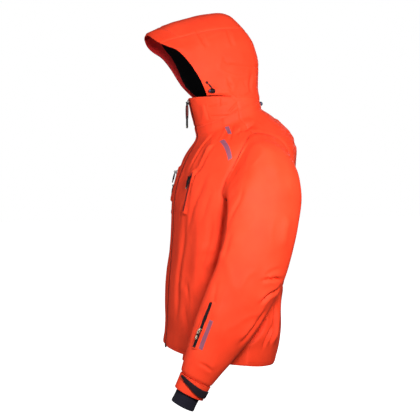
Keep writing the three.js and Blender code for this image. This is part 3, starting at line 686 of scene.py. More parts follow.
# ---- folds of each part -------------------------------------------------
def crease(points, depth, width, taper=0.3):
    """A narrow valley in a soft mound."""
    return [(points, height, wide, wide, taper)
            for height, wide in ((-2.2 * depth, 0.72 * width), (1.15 * depth, 2.6 * width))]


def ridge(points, height, left, right, taper=0.35):
    return [(points, 1.7 * height, left, right, taper)]


def seam(points, depth=2.4, width=2.6):
    return [(points, -depth, width, width, 0.06)]


def mirrored(folds, lift=0):
    """The same folds on the other side, a little higher up."""
    return [([(-x, y, z + lift) for x, y, z in points], height, right, left, taper)
            for points, height, left, right, taper in folds]


def on_body(points, back=False):
    return [tuple(body_xz(x, z, back)) for x, z in points]


LEFT_BODY_FOLDS = (
    crease([(84, -43, 618), (82, -68, 589), (83, -94, 550), (73, -116, 504)], 2.6, 7)
    + crease([(107, -26, 614), (128, -56, 577), (127, -88, 521), (110, -107, 493), (101, -126, 429),
              (73, -137, 391), (65, -143, 336)], 2.8, 9)
    + ridge([(92, -22, 632), (108, -52, 594), (124, -76, 552), (122, -98, 500), (112, -118, 440)], 2.4, 16, 14)
    + crease([(100, 74, 652), (111, 60, 640), (120, 44, 634), (130, 22, 622), (140, 0, 604)], 3.6, 7)
    + crease([(98, 6, 640), (112, 2, 630), (132, -6, 612), (150, -16, 590)], 2.0, 6)
    + crease([(148, -60, 520), (146, -88, 470), (128, -116, 400), (112, -128, 330)], 1.8, 11)
    + crease([(168, -60, 470), (166, -84, 420), (158, -100, 350)], 1.6, 10)
    + ridge([(115, 79, 644), (122, 49, 633), (129, 20, 621)], -3.2, 15, 15)
    + crease(on_body([(97, 392), (96, 302), (89, 230), (90, 145), (86, 59)]), 2.6, 15)
    + ridge(on_body([(158, 400), (153, 306), (151, 223), (145, 153)]), 3.4, 20, 20)
    + crease(on_body([(178, 400), (176, 335), (170, 280), (160, 230)]), 2.4, 12)
    + crease([(60, -152, 224), (122, -131, 192), (130, -128, 162)], 2.0, 8)
    + ridge([(146, -107, 296), (174, -82, 297), (191, -55, 302)], 2.4, 7, 7)
    + ridge([(159, -99, 254), (180, -75, 260), (192, -55, 269)], 2.0, 7, 7)
    + crease([(195, -42, 391), (194, -46, 350), (190, -57, 281)], 2.6, 9)
    + crease([(171, 112, 144), (175, 103, 78), (183, 90, 25)], 6.0, 8)
    + crease([(200, 74, 130), (197, 68, 93), (201, 50, 61), (205, 15, 29)], 6.0, 8)
    + crease([(178, 104, 120), (182, 95, 81), (189, 82, 55), (194, 65, 12)], 5.0, 7)
    + ridge([(137, 140, 171), (156, 123, 118), (167, 111, 63), (174, 98, 8)], 4.0, 14, 10)
    + crease(on_body([(120, 150), (128, 90), (150, 40), (160, 8)]), 2.4, 13)
    + ridge(on_body([(40, 260), (44, 160), (36, 50)]), 2.2, 22, 22)
)
BACK_FOLDS = (
    ridge(on_body([(60, 500), (88, 400), (96, 290), (84, 150)], True), 4.5, 26, 20)
    + ridge(on_body([(-30, 520), (-48, 400), (-44, 260), (-60, 110)], True), 4.0, 24, 24)
    + crease(on_body([(20, 480), (26, 360), (14, 220), (24, 90)], True), 2.4, 16)
    + crease(on_body([(150, 430), (110, 396), (60, 382)], True), 3.2, 10)
    + crease(on_body([(-150, 424), (-104, 388), (-56, 380)], True), 3.2, 10)
    + crease(on_body([(160, 300), (110, 262), (50, 250), (0, 262)], True), 3.0, 11)
    + crease(on_body([(-160, 280), (-120, 240), (-60, 226)], True), 3.0, 11)
    + crease(on_body([(130, 200), (84, 168), (36, 166)], True), 2.6, 11)
    + crease(on_body([(-140, 180), (-90, 150), (-34, 150)], True), 2.6, 11)
    + crease(on_body([(-150, 560), (-110, 590), (-60, 600)], True), 2.2, 12)
    + crease(on_body([(150, 560), (112, 588), (60, 604)], True), 2.2, 12)
)
BODY_FOLDS = LEFT_BODY_FOLDS + mirrored(LEFT_BODY_FOLDS, 14) + BACK_FOLDS
LEFT_SLEEVE_FOLDS = (
    crease([(268, 7, 508), (276, -9, 482), (283, -20, 438), (278, -39, 401), (274, -52, 357)], 2.4, 8)
    + crease([(250, -24, 520), (262, -30, 488), (268, -40, 452)], 1.6, 7)
    + crease([(287, -44, 352), (287, -54, 318), (289, -68, 274)], 1.6, 9)
    + crease([(294, 98, 222), (306, 78, 228), (316, 46, 229), (320, 24, 224)], 4.4, 6)
    + crease([(290, 92, 204), (298, 76, 197), (308, 54, 188), (312, 37, 174), (313, 20, 160)], 4.6, 7)
    + crease([(303, 85, 256), (314, 58, 250), (319, 35, 238)], 2.6, 6)
    + crease([(300, 51, 153), (302, 23, 114), (305, -4, 82), (305, -32, 51)], 2.8, 10)
    + ridge([(308, 19, 126), (309, -3, 96), (308, -27, 68)], 2.2, 12, 10)
    + crease([(292, -82, 227), (299, -94, 176), (298, -110, 130)], 2.2, 8)
    + ridge([(311, -70, 177), (310, -91, 113), (307, -114, 48)], 2.4, 18, 16)
    + crease([(300, -137, 16), (308, -117, 6), (307, -99, -11)], 1.8, 6)
    + ridge([(295, 109, 395), (302, 96, 350), (305, 90, 303)], 3.0, 14, 12)
    + ridge([(196, 67, 595), (253, 74, 545), (282, 82, 487)], 2.4, 22, 22)
    + ridge([(228, 6, 567), (256, -20, 513), (262, -38, 471)], 3.0, 14, 12)
)
RIGHT_SLEEVE_FOLDS = (
    crease([(-290, 118, 236), (-308, 96, 240), (-319, 62, 238)], 4.0, 7)
    + crease([(-288, 112, 202), (-306, 92, 200), (-317, 60, 190), (-318, 36, 178)], 4.2, 8)
    + crease([(-292, 122, 268), (-309, 98, 270), (-318, 70, 264)], 2.6, 7)
    + crease([(-290, -48, 260), (-310, -26, 250), (-320, 6, 244)], 2.8, 9)
    + crease([(-304, 64, 120), (-314, 40, 104), (-317, 14, 96)], 2.6, 10)
    + ridge([(-311, -20, 180), (-314, -24, 110), (-308, -34, 30)], 2.4, 18, 16)
    + crease([(-267, 7, 511), (-277, -6, 485), (-282, -22, 445)], 2.6, 8)
    + ridge([(-228, 6, 567), (-256, -20, 513), (-262, -38, 471)], 3.0, 14, 12)
)
SLEEVE_FOLDS = {"left": LEFT_SLEEVE_FOLDS, "right": RIGHT_SLEEVE_FOLDS}
LEFT_HOOD_FOLDS = (
    crease([(67, -95, 913), (85, -83, 883), (96, -68, 853)], 2.6, 7)
    + crease([(67, -3, 913), (79, 1, 886), (86, 11, 860)], 2.2, 7)
    + crease([(96, -11, 777), (93, -2, 755), (90, 5, 739)], 1.8, 6)
    + crease([(69, 71, 793), (73, 62, 758), (68, 66, 733)], 2.2, 8)
    + seam([(96, -20, 832), (97, -18, 818)], 1.6, 2.4)
    + seam([(97, -18, 818), (94, -1, 813), (84, 38, 812), (59, 84, 811), (30, 97, 811), (0, 99, 811)])
    + ridge([(89, -66, 727), (90, -45, 733), (90, -14, 736), (92, 0, 728), (92, 25, 716), (90, 50, 712),
             (84, 68, 712), (60, 94, 716)], 3.0, 5, 14, 0.12)
    + crease([(90, -20, 762), (93, 0, 752), (95, 20, 742)], 1.4, 6)
    + crease([(86, 40, 770), (84, 52, 748), (80, 62, 730)], 1.4, 7)
)
HOOD_FOLDS = LEFT_HOOD_FOLDS + mirrored(LEFT_HOOD_FOLDS)
LEFT_COLLAR_FOLDS = (
    seam([(66, -67, 700), (67, -62, 680), (70, -56, 656)], 2.8, 3.2)
    + seam([(70, -62, 691), (80, -48, 694), (92, -8, 702)], 2.2, 3.0)
    + seam([(72, -55, 666), (88, -27, 665), (95, 7, 668), (94, 30, 676)], 2.4, 3.0)
    + seam([(88, -29, 716), (88, -29, 704), (88, -29, 692)], 2.6, 3.0)
    + crease([(94, -8, 672), (94, 8, 690), (92, 24, 704)], 1.8, 5)
    + ridge([(60, -74, 650), (66, -70, 680), (64, -80, 705)], 2.0, 12, 12)
)
COLLAR_FOLDS = LEFT_COLLAR_FOLDS + mirrored(LEFT_COLLAR_FOLDS)


def ripples(p, *layers):
    """Soft ripples, the sum of layers of (height, size along x, y and z, seed)."""
    return sum(height * noise_field(p, scale, seed) for height, scale, seed in layers)


def body_relief(p, n, *_):
    h = ripples(p, (2.4, (60, 60, 190), 3.1), (0.9, (26, 26, 60), 7.7))
    h = h + 2.4 * wrinkles(p, (62, 62, 210), 5.3) + fold_field(p, n, BODY_FOLDS)
    hole = np.minimum(np.abs(armhole_polar(p, 1.0)[1]), np.abs(armhole_polar(p, -1.0)[1]))
    placket = np.where(p[..., 1] < 0, smooth(6, 34, np.abs(p[..., 0])), 1)
    return h * smooth(0, 25, hole) * placket - 3.4 * np.exp(-(hole / 6.0) ** 2)


def sleeve_height(name, p, n):
    h = ripples(p, (2.4, (70, 70, 120), 11.3), (0.8, (30, 30, 42), 17.9))
    return h + 2.0 * wrinkles(p, (66, 66, 130), 9.7) + fold_field(p, n, SLEEVE_FOLDS[name])


def sleeve_relief(name):
    """The sleeve's height, which fades out towards the armhole and the cuff."""
    return lambda p, n, u, v: sleeve_height(name, p, n) * np.minimum(smooth(0, 0.06, v), smooth(0, 0.04, 1 - v))


def hood_relief(p, n, *_):
    h = ripples(p, (1.4, (60, 60, 80), 21.3), (0.5, (24, 24, 34), 27.9))
    x, y, z = np.moveaxis(p, -1, 0)
    drape = 3.5 * smooth(762, 724, z) * smooth(-45, -5, y) * (1 - 0.7 * smooth(30, 8, np.abs(x)))
    return h + 1.5 * wrinkles(p, (70, 70, 80), 25.1) + drape + fold_field(p, n, HOOD_FOLDS)


def collar_relief(p, n, *_):
    return 0.9 * noise_field(p, (30, 30, 30), 31.3) + fold_field(p, n, COLLAR_FOLDS)


# ---- body panels --------------------------------------------------------
def outside_armholes(p):
    return (armhole_polar(p, 1.0)[1] > 0) & (armhole_polar(p, -1.0)[1] > 0)


def sunk_edge(side, phi, depth):
    """Points of the armhole's edge, moved towards its centre."""
    edge = edge_at(side, phi)
    return edge + depth * unit(armhole_frame(side)[0] - edge)


def to_armhole(p):
    """Where the points near an armhole go, on the bottom of its seam, and which points are near."""
    target, close = p.copy(), np.zeros(len(p), bool)
    for side in (1.0, -1.0):
        phi, gap = armhole_polar(p, side)
        near = np.abs(gap) < 12
        target[near] = sunk_edge(side, phi, 3.0)[near]
        close |= near
    return target, close


def front_seam(u):
    return neck_seam(lerp(0.1, SIDE_SEAM, u))


def front_at(side, u, s):
    """Body or collar at row s, from the zip to the side seam."""
    return body_at(side * lerp(angle_at(rows(NECK, s), ZIP_HALF + 0.4), SIDE_SEAM, u), s)


def back_angle(u):
    return lerp(SIDE_SEAM, 2 * math.pi - SIDE_SEAM, u)


def front_panel(side):
    return lambda u, v: front_at(side, u, v * front_seam(u))


def front_collar(side):
    return lambda u, v: front_at(side, u, lerp(front_seam(u), TOP_ROW, v))


def back_panel(u, v):
    return body_at(back_angle(u), v * YOKE_RING)


def back_yoke(u, v):
    return body_at(back_angle(u), lerp(YOKE_RING, neck_seam(back_angle(u)), v))


def back_collar(u, v):
    return body_at(back_angle(u), lerp(neck_seam(back_angle(u)), TOP_ROW, v))


def build_body():
    for name, at, shape in (
        ("front_left_panel", front_panel(1.0), (84, 170)), ("front_right_panel", front_panel(-1.0), (84, 170)),
        ("back_panel", back_panel, (150, 140)), ("back_yoke", back_yoke, (150, 60)),
    ):
        cloth(name, "jacket", "shell", at, shape, body_centre, SHELL_THICK, LINED, body_relief,
              keep=outside_armholes, snap=to_armhole)


def build_collar():
    for name, at, shape in (
        ("left", front_collar(1.0), (60, 44)), ("right", front_collar(-1.0), (60, 44)),
        ("back", back_collar, (80, 16)),
    ):
        cloth(f"collar_{name}", "jacket", "shell", at, shape, neck_centre, SHELL_THICK, LINED, collar_relief)

    def inside(u, v):
        return body_at(lerp(0.36, 2 * math.pi - 0.36, u), NECK_START + COLLAR_ROWS * lerp(0.12, 0.96, v))
    cloth("collar_lining", "jacket", "lining", inside, (90, 20), neck_centre, FACING_THICK, [LINING, LINING],
          lift=-6)


# ---- sleeves ------------------------------------------------------------
BLEND_DIRECTION = np.array([0.95, 0, -0.30])
BLEND_START, BLEND_END = 76, 150  # mm outside the armhole's centre


def arm_blend(o, name):
    """Bakes a piece's transform into its mesh."""
    side = SIDES[name]
    centre = armhole_frame(side)[0]
    d = unit(BLEND_DIRECTION * [side, 1, 1])
    tuple(place(centre + d * BLEND_START))
    tuple(place(centre + d * BLEND_END))
    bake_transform(o)


def tube_round(table, side):
    return lambda u, v: tube_at(table, side, v * (len(table) - 1), u * 2 * math.pi)


def sleeve_round(name):
    return lambda u, v: sleeve_at(name, v * (len(SLEEVE[name]) - 1), u * 2 * math.pi)


def build_sleeves():
    for name, side in SIDES.items():
        # Piping under the seam closes the join between body and sleeve.
        piping = hose(sunk_edge(side, np.linspace(0, 2 * math.pi, 160), 5.6), 2.9, 14)
        rigid(f"{name}_armhole_piping", piping, SHELL, "jacket", sharp=60)
        o = fabric(f"{name}_sleeve", sleeve_round(name), (120, 190), tube_middle(SLEEVE[name], side),
                   SHELL_THICK, LINED, sleeve_relief(name), closed=True, roll=(3.0, 5.0))
        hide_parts(f"{name}_upper_sleeve", f"{name}_lower_sleeve")
        arm_blend(o, name)
        for piece, shape, table, thick, looks, slot in (
            ("cuff_band", (100, 20), CUFF[name], SHELL_THICK, LINED, "shell"),
            ("wrist_gaiter", (96, 30), GAITER[name], 2.2, [KNIT, KNIT], "lining"),
        ):
            cloth(f"{name}_{piece}", f"{name}_arm", slot, tube_round(table, side), shape,
                  tube_middle(table, side), thick, looks, closed=True, roll=(0.8, 3))
        for piece, body, low, high, top, thick, look, ends, slot in (
            ("cuff_landing", "arm", (0.5, 0.7), (0.75, 1.4), 1.4, 0.9, KNIT, (0.9, -1.15), "lining"),
            ("cuff_tab", "cuff_tab", (0.1, 0.62), (0.4, 1.5), 4.4, 2.2, STRAP, (1.2, -1.1), "webbing"),
        ):
            def at(u, v, low=low, high=high, ends=ends):
                """A band of the cuff, narrow at the front and wide behind."""
                wide = smooth(-0.1, 0.75, u)
                s = lerp(lerp(*low, wide), lerp(*high, wide), v)
                return tube_at(CUFF[name], side, s, lerp(*ends, u))
            cloth(f"{name}_{piece}", f"{name}_{body}", slot, at, (60, 12), tube_middle(CUFF[name], side), thick,
                  [look, look], lift=top, roll=(0.5, 1.5))


# ---- hood ---------------------------------------------------------------


def hood_sheet(name, slot, at, shape, thickness, looks, *rest, nodes=(), **more):
    """A piece of the hood, standing for the CAD node of its name and those in nodes."""
    o = fabric(name, at, shape, hood_centre, thickness, looks, *rest, **more)
    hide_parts(name, *nodes)
    low, d = np.array([0.0, -5, 745]), np.array([0, 0.24, 0.97])
    tuple(place(low))
    tuple(place(low + d * 130))
    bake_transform(o)


def facing_edge(v):
    """Where the coloured facing meets the black lining: deeper under the brim."""
    return lerp(0.09, 0.25, smooth(0.2, 1, crowd(v)))


def build_hood():
    for name, side in SIDES.items():
        def outside(u, v, side=side):
            k = crowd(u)
            return skirt(side, k, lerp(skirt_depth(k), CROWN, v))

        def facing(u, v, side=side):
            return hood_at(side, lerp(0.004, facing_edge(v), u), lerp(0.01, 0.95, crowd(v)))

        def inner(u, v, side=side):
            return hood_at(side, lerp(facing_edge(v) - 0.012, 0.97, crowd(u)), lerp(0.01, 0.96, crowd(v)))
        hood_sheet(f"hood_side_{name}", "shell", outside, (80, 70), HOOD_THICK, LINED, hood_relief,
                   nodes=[f"hood_neck_{name}"])
        hood_sheet(f"hood_facing_{name}", "facing", facing, (14, 80), FACING_THICK, [FACING, FACING],
                   lift=-5, roll=(0, 1))
        hood_sheet(f"hood_lining_{name}", "lining", inner, (60, 60), FACING_THICK, [LINING, LINING],
                   lift=-7, roll=(0, 1))

    def across(low, high):
        """The hood's top, from one side to the other."""
        def at(u, v):
            down = np.abs(2 * v - 1) ** 1.7
            return hood_at(np.where(v < 0.5, -1.0, 1.0), lerp(low, high, u), lerp(1, CROWN, down))
        return at
    hood_sheet("hood_brim", "shell", across(0, BRIM), (24, 90), HOOD_THICK, [SHELL, FACING], hood_relief)
    hood_sheet("hood_centre_panel", "shell", across(BRIM, 1), (60, 90), HOOD_THICK, LINED, hood_relief)


# ---- hardware -----------------------------------------------------------
JOINT = {j["name"]: j for j in frame["joints"]}
PIVOT_Y = -6.2  # a slider's pivot stands this far out of its tape
X, Y, UP = np.eye(3)


def zip_axes(name):
    """Origin on the tape under the slider, and x across, y into the fabric, z up the zip."""
    z = unit(JOINT[f"{name}_slide"]["axis"])
    x = -unit(JOINT[f"{name}_pull"]["axis"])
    y = np.cross(z, x)
    pivot = np.array(JOINT[f"{name}_pull"]["pos_m"]) / MM + HOOK
    return pivot - y * PIVOT_Y, (x, y, z)


def rigid(name, mesh, look, body, seat=None, cad=False, sharp=40):
    """A hard piece from (points, faces), which may be local to a seat, an origin and its axes. With cad on it
    stands for the CAD node of the same name."""
    points, faces = mesh
    if seat is not None:
        points = stamped(points, *seat)
    o = mesh_object(name, (points, faces), [look], sharp=sharp)
    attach(o, body)
    if cad:
        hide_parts(name)


def merge(parts):
    """One mesh from several (points, faces)."""
    points, faces, count = [], [], 0
    for p, f in parts:
        points.append(p)
        faces += [[k + count for k in face] for face in f]
        count += len(p)
    return np.concatenate(points), faces


def stamped(p, origin, axes):
    """Local points (across, out of the fabric, up) carried to a frame of zip_axes."""
    x, y, z = axes
    return origin + p[:, :1] * x - p[:, 1:2] * y + p[:, 2:] * z


def plate(loops, thickness, bevel=0.35):
    """Bevelled plate from closed loops of (across, up); later loops are holes."""
    curve = bpy.data.curves.new("plate", "CURVE")
    curve.dimensions = "2D"
    curve.fill_mode = "BOTH"
    curve.extrude = thickness / 2 - bevel
    curve.bevel_depth = bevel
    curve.bevel_resolution = 2
    curve.offset = -bevel
    for loop in loops:
        spline = curve.splines.new("POLY")
        spline.points.add(len(loop) - 1)
        spline.points.foreach_set("co", np.array([(x, z, 0, 1) for x, z in loop], float).ravel())
        spline.use_cyclic_u = True
    holder = add_object("plate", curve)
    mesh = bpy.data.meshes.new_from_object(holder.evaluated_get(bpy.context.evaluated_depsgraph_get()))
    bm = bmesh.new()
    bm.from_mesh(mesh)
    bmesh.ops.remove_doubles(bm, verts=bm.verts, dist=0.02)
    points = np.array([(v.co.x, v.co.z, v.co.y) for v in bm.verts])
    faces = [[v.index for v in f.verts][::-1] for f in bm.faces]
    bm.free()
    bpy.data.objects.remove(holder)
    bpy.data.curves.remove(curve)
    bpy.data.meshes.remove(mesh)
    return points, faces


def loop_of(points, steps=7):
    """Smooth closed loop through a few points."""
    count = len(points)
    around = np.array([points[(k - 1) % count] for k in range(count + 3)], float)
    return rows(around, 1 + np.arange(count * steps) / steps)


def mirror_loop(right, steps=7):
    """Smooth closed loop, the same on both sides, from the points of its right half in order."""
    left = [(-x, z) for x, z in right[::-1] if x]
    return loop_of(left[-1:] + right + left[:-1], steps)


def rib_plate(half, z, tall, thickness):
    """A small raised bar across a plate, at height z."""
    return plate([mirror_loop([(half, z - tall), (half, z + tall)], 3)], thickness, 0.2)


def round_hole(z, radius, steps=28):
    a = np.linspace(0, 2 * math.pi, steps, endpoint=False)
    return list(zip(radius * np.cos(a), z + radius * np.sin(a)))


def slot_hole(low, high, half, steps=8):
    a = np.linspace(0, math.pi, steps)
    top = [(half * math.cos(t), high - half + half * math.sin(t)) for t in a]
    bottom = [(-half * math.cos(t), low + half - half * math.sin(t)) for t in a]
    return top + bottom


def lathe(profile, origin, axis, steps=40):
    """Turned body from (radius, height) points around an axis."""
    axis = unit(axis)
    side = unit(np.cross(axis, [0.3, 0.2, 1]))
    other = np.cross(axis, side)
    a = np.linspace(0, 2 * math.pi, steps, endpoint=False)
    profile = np.asarray(profile, float)
    spin = np.cos(a)[:, None] * side + np.sin(a)[:, None] * other
    points = origin + profile[None, :, :1] * spin[:, None, :] + profile[None, :, 1:] * axis
    return points.reshape(-1, 3), quads(steps, len(profile), True).tolist()


def hose(route, radius, steps=12):
    """Tube along a route, closed at both ends."""
    route = np.asarray(route, float)
    tangent = unit(np.gradient(route, axis=0))
    side = unit(np.cross(tangent, [0.31, 0.17, 0.93]))
    other = np.cross(tangent, side)
    a = np.linspace(0, 2 * math.pi, steps, endpoint=False)[:, None, None]
    rings = route[None] + (np.cos(a) * side + np.sin(a) * other) * radius
    count = len(route)
    faces = quads(steps, count, True).tolist()
    faces.append([k * count for k in range(steps)][::-1])
    faces.append([k * count + count - 1 for k in range(steps)])
    return rings.reshape(-1, 3), faces


def brick(centre, t, n, b, size):
    """Small block with chamfered ends along t, n and b."""
    half = np.array(size) / 2
    points = [
        centre + t * i * half[0] + n * j * half[1] * scale + b * k * half[2] * scale
        for i, scale in ((-1, 0.7), (-0.6, 1), (0.6, 1), (1, 0.7))
        for j, k in ((-1, -1), (1, -1), (1, 1), (-1, 1))
    ]
    faces = [[3, 2, 1, 0], [12, 13, 14, 15]]
    faces += [[a + k, a + (k + 1) % 4, a + 4 + (k + 1) % 4, a + 4 + k] for a in (0, 4, 8) for k in range(4)]
    return np.array(points), faces


def coil(route, out, pitch=2.1, gap=((0, 1), (0, 0))):
    """Zip teeth along a route: two rows that interlock, or stand apart by gap, a table along the route."""
    length = running(route)
    parts = []
    for k, d in enumerate(np.arange(pitch / 2, length[-1], pitch / 2)):
        t = unit(interp(d + 1, length, route) - interp(d - 1, length, route))
        n = unit(interp(d, length, out))
        b = np.cross(t, n)
        apart = (0.55 + np.interp(d / length[-1], *gap)) * (1 if k % 2 else -1)
        parts.append(brick(interp(d, length, route) + b * apart, b, n, t, (2.3, 1.0, pitch * 0.36)))
    return merge(parts)


def build_pull(name, body, seat, size, hole, look, grip, thick=2.8):
    """A pull hanging from its bar: a plate with an eye and a tip hole, and a moulded grip over it."""
    width, length = size
    half, tip = width / 2, width * 0.36
    outline = mirror_loop([
        (3.0, 1.0), (3.3, -3), (3.1, -7), (half * 0.8, -length * 0.22), (half * 0.78, -length * 0.5),
        (tip, -length * 0.66), (tip * 1.05, -length + tip * 1.2), (0, -length),
    ])
    eye = tip * 1.1 - length
    core = plate([outline, slot_hole(-6.2, -1.0, 1.8), round_hole(eye, hole)], thick, 0.6)
    rigid(f"{name}_puller", core, look, body, seat, cad=True)
    top, bottom, wide, over, grip_look = grip
    shape = mirror_loop([
        (wide * 0.5, top), (wide, lerp(top, bottom, 0.25)), (wide * 0.9, lerp(top, bottom, 0.7)),
        (wide * 0.4, bottom),
    ])
    parts = [plate([shape], over, over * 0.34)]
    parts += [rib_plate(wide * 0.55, lerp(top, bottom, 0.3 + 0.16 * k), 0.5, over + 0.7) for k in range(3)]
    rigid(f"{name}_grip", merge(parts), grip_look, body, seat)
    deep, rim = thick / 2 + 0.25, hole + 1.1
    rivet = lathe([(hole, -deep), (rim, -deep), (rim, deep), (hole, deep), (hole, -deep)], UP * eye, Y, 28)
    rigid(f"{name}_rivet", rivet, BRIGHT_METAL, body, seat)


def build_slider(name, size, look):
    """A slider: two decks joined by a neck, and a bail for the pull."""
    w, h = size
    outline = loop_of([
        (-w / 2, h * 0.34), (-w * 0.3, h / 2), (w * 0.3, h / 2), (w / 2, h * 0.34), (w * 0.36, -h / 2),
        (-w * 0.36, -h / 2),
    ])
    deck, faces = plate([outline], 1.5, 0.45)
    neck = plate([mirror_loop([(w * 0.2, -h * 0.1), (w * 0.24, h * 0.45)])], 2.6, 0.2)
    a = np.linspace(0, 2 * math.pi, 33)
    bail = hose(np.stack([0 * a, 6.2 + 3.05 * np.cos(a), 3.05 * np.sin(a)], -1), 0.62, 10)
    parts = [
        (deck + [0, 2.45, 0], faces), (deck * [0.96, 0.5, 0.96] + [0, 1.6, 0], faces),
        (neck[0] * [1, 0.4, 1] + [0, 2.0, 0], neck[1]), bail,
    ]
    rigid(f"{name}_slider", merge(parts), look, f"{name}_slider", zip_axes(name), cad=True)


# ---- zips ---------------------------------------------------------------
POCKETS = {  # length of the closed zip, height of its slider above the middle
    "left_chest_zip": (112, 42), "right_chest_upper_zip": (92, 36),
    "right_chest_lower_zip": (100, 32), "forearm_zip": (124, -14),
}
FOREARM_RING, FOREARM_ANGLE, FOREARM_PITCH = 9.45, 0.93, 72


def forearm_surface(across, up):
    """Sleeve surface across and up from the middle of the forearm zip."""
    across, up = both(across, up)
    s = FOREARM_RING - up / FOREARM_PITCH
    near = [sleeve_at("left", s, 0 * s + FOREARM_ANGLE + turn) for turn in (0.05, -0.05)]
    wide = np.linalg.norm(near[0] - near[1], axis=-1) / 0.1
    return sleeve_at("left", s, FOREARM_ANGLE - across / wide)


def pocket_frame(name):
    origin, axes = zip_axes(name)
    length, slider = POCKETS[name]
    return origin - axes[2] * slider, axes, length, slider


def stadium(t, half_length, radius):
    a = 2 * math.pi * t
    return radius * np.cos(a), radius * np.sin(a) + half_length * np.tanh(5 * np.sin(a))


def build_pocket(name, body, surface, relief, tape_look, opening):
    """Tape and teeth between the raised lips of a pocket; the stretch above the slider stands open."""
    middle, (x, y, z), length, slider = pocket_frame(name)

    def local(across, up):
        return middle + across[..., None] * x + up[..., None] * z

    def flat(u, v):
        return local(lerp(-4.2, 4.2, u), lerp(-0.5, 0.5, v) * length)
    cloth(f"{name}_tape", body, "zip_tape", flat, (6, 40), lambda p: p + y * 50, 1.2, [tape_look] * 2,
          roll=(0, 1))
    out = np.broadcast_to(-y, (30, 3))
    closed, open_ = (
        middle + np.linspace(low, high, 30)[:, None] * z - 0.35 * y
        for low, high in ((2 - length / 2, slider - 3), (slider + 3, length / 2 - 2))
    )
    spread = ([0, 0.35, 0.7, 1], [0.6, opening, opening * 0.8, 0.3])
    teeth = merge([coil(closed, out), coil(open_, out, gap=spread)])
    rigid(f"{name}_teeth", teeth, COIL_BLACK, body)

    def welt(u, v):
        """Lips that nearly meet over the closed stretch and part above the slider."""
        u, v = both(u, v)
        gape = lerp(1.5, 3.1, smooth(slider - 14, slider + 2, stadium(u, length / 2 - 1, 0)[1]))
        across, up = stadium(u, length / 2 - 1, gape + 11 * np.clip(v, 0, None))
        base = surface(across, up)
        base = base - y * (relief(base, np.broadcast_to(-y, base.shape)) + 0.2)[..., None]
        return lerp(local(across, up) + 0.1 * y, base, smooth(0.15, 1, v)[..., None])
    cloth(f"{name}_welt", body, "shell", welt, (120, 12), lambda p: p + y * 60, 1.0, [SHELL, SHELL],
          cad=False, roll=(0.5, 1.2), closed=True, rolled="v")


def front_row(x, j):
    """Up the centre front: the body first, then the collar."""
    x, j = both(x, j)
    s = lerp(0.2, NECK_START + COLLAR_ROWS * 0.93, j)
    return body_at(angle_at(rows(NECK, s), x), s)


def build_front_zip():
    for name, side in SIDES.items():
        at = lambda u, v, side=side: front_row(side * lerp(0.3, 8.5, u), v)
        cloth(f"main_zip_{name}_tape", "jacket", "zip_tape", at, (4, 160), body_centre, 1.1, [TAPE, TAPE],
              lift=-1.6, roll=(0, 1))
    j = np.linspace(0.004, 0.99, 240)
    route = front_row(0 * j, j)
    step = np.gradient(route, axis=0)
    out = np.stack([0 * j, -step[:, 2], step[:, 1]], -1)
    out = unit(out * np.sign(-out[:, 1:2]))
    rigid("main_zip_teeth", coil(route - out, out, pitch=3.0), COIL, "jacket")
    cloth("storm_flap", "jacket", "shell", lambda u, v: front_row(lerp(-15, 15, u), v), (10, 120), body_centre,
          1.4, LINED, lift=-6.5, roll=(0, 1))
    build_slider("main_zip", (11, 13), DARK_METAL)
    axes = (X, Y, UP)
    pivot = np.array(JOINT["main_zip_pull"]["pos_m"]) / MM + HOOK
    build_pull("main_zip", "main_zip_puller", (pivot, axes), (13, 74), 2.4, BLACK, (-8, -46, 6.4, 7.5, BROWN), 4.8)
    cap = plate([mirror_loop([(6.3, -3), (6.3, 2.2), (3.5, 3.2)])], 5, 1.4)
    rigid("zip_garage", cap, SHELL, "jacket", (np.array([0, -98.6, 718.2]), axes), cad=True)
    parts = [plate([mirror_loop([(4.3, -6), (4.5, 5), (2.5, 6)])], 4, 0.7)]
    parts += [rib_plate(3.4, z, 0.4, 4.7) for z in (-3.2, -1.4, 0.4)]
    rigid("zip_pin_box", merge(parts), BLACK, "jacket", (np.array([0, -171.5, -1]), axes), cad=True)


def build_zips():
    build_front_zip()
    for name in POCKETS:
        origin, axes = zip_axes(name)
        pivot = origin + axes[1] * PIVOT_Y
        if name == "forearm_zip":
            relief = lambda p, n: sleeve_height("left", p, n)
            build_pocket(name, "left_arm", forearm_surface, relief, LINING, 3.4)
            build_slider(name, (8, 10), BRIGHT_METAL)
            pull = ((7, 26), 1.5, BRIGHT_METAL, (-9, -17, 3.3, 2.8, BLACK))
        else:
            middle = pocket_frame(name)[0]
            x, _, z = axes

            def surface(across, up, middle=middle, x=x, z=z):
                q = middle + across[..., None] * x + up[..., None] * z
                return body_xz(q[..., 0], q[..., 2])
            build_pocket(name, "jacket", surface, body_relief, TAPE, 1.6)
            build_slider(name, (8, 10), BLACK)
            pull = ((8, 34), 1.6, BLACK, (-7.5, -26, 4.0, 4.6, BLACK))
        build_pull(name, f"{name}_puller", (pivot, axes), *pull)


# ---- hood hardware and hanger -------------------------------------------
LOCK_OUT = 6.6


def hood_frame(side, u, v, lift):
    p = hood_at(side, u, v)
    du = hood_at(side, u + 0.03, v) - hood_at(side, u - 0.03, v)
    dv = hood_at(side, u, v + 0.03) - hood_at(side, u, v - 0.03)
    out = unit(np.cross(du, dv))
    out = out if out[0] * side > 0 else -out
    y = -unit(out - UP * (out @ UP))
    return p + out * lift, (np.cross(y, UP), y, UP)


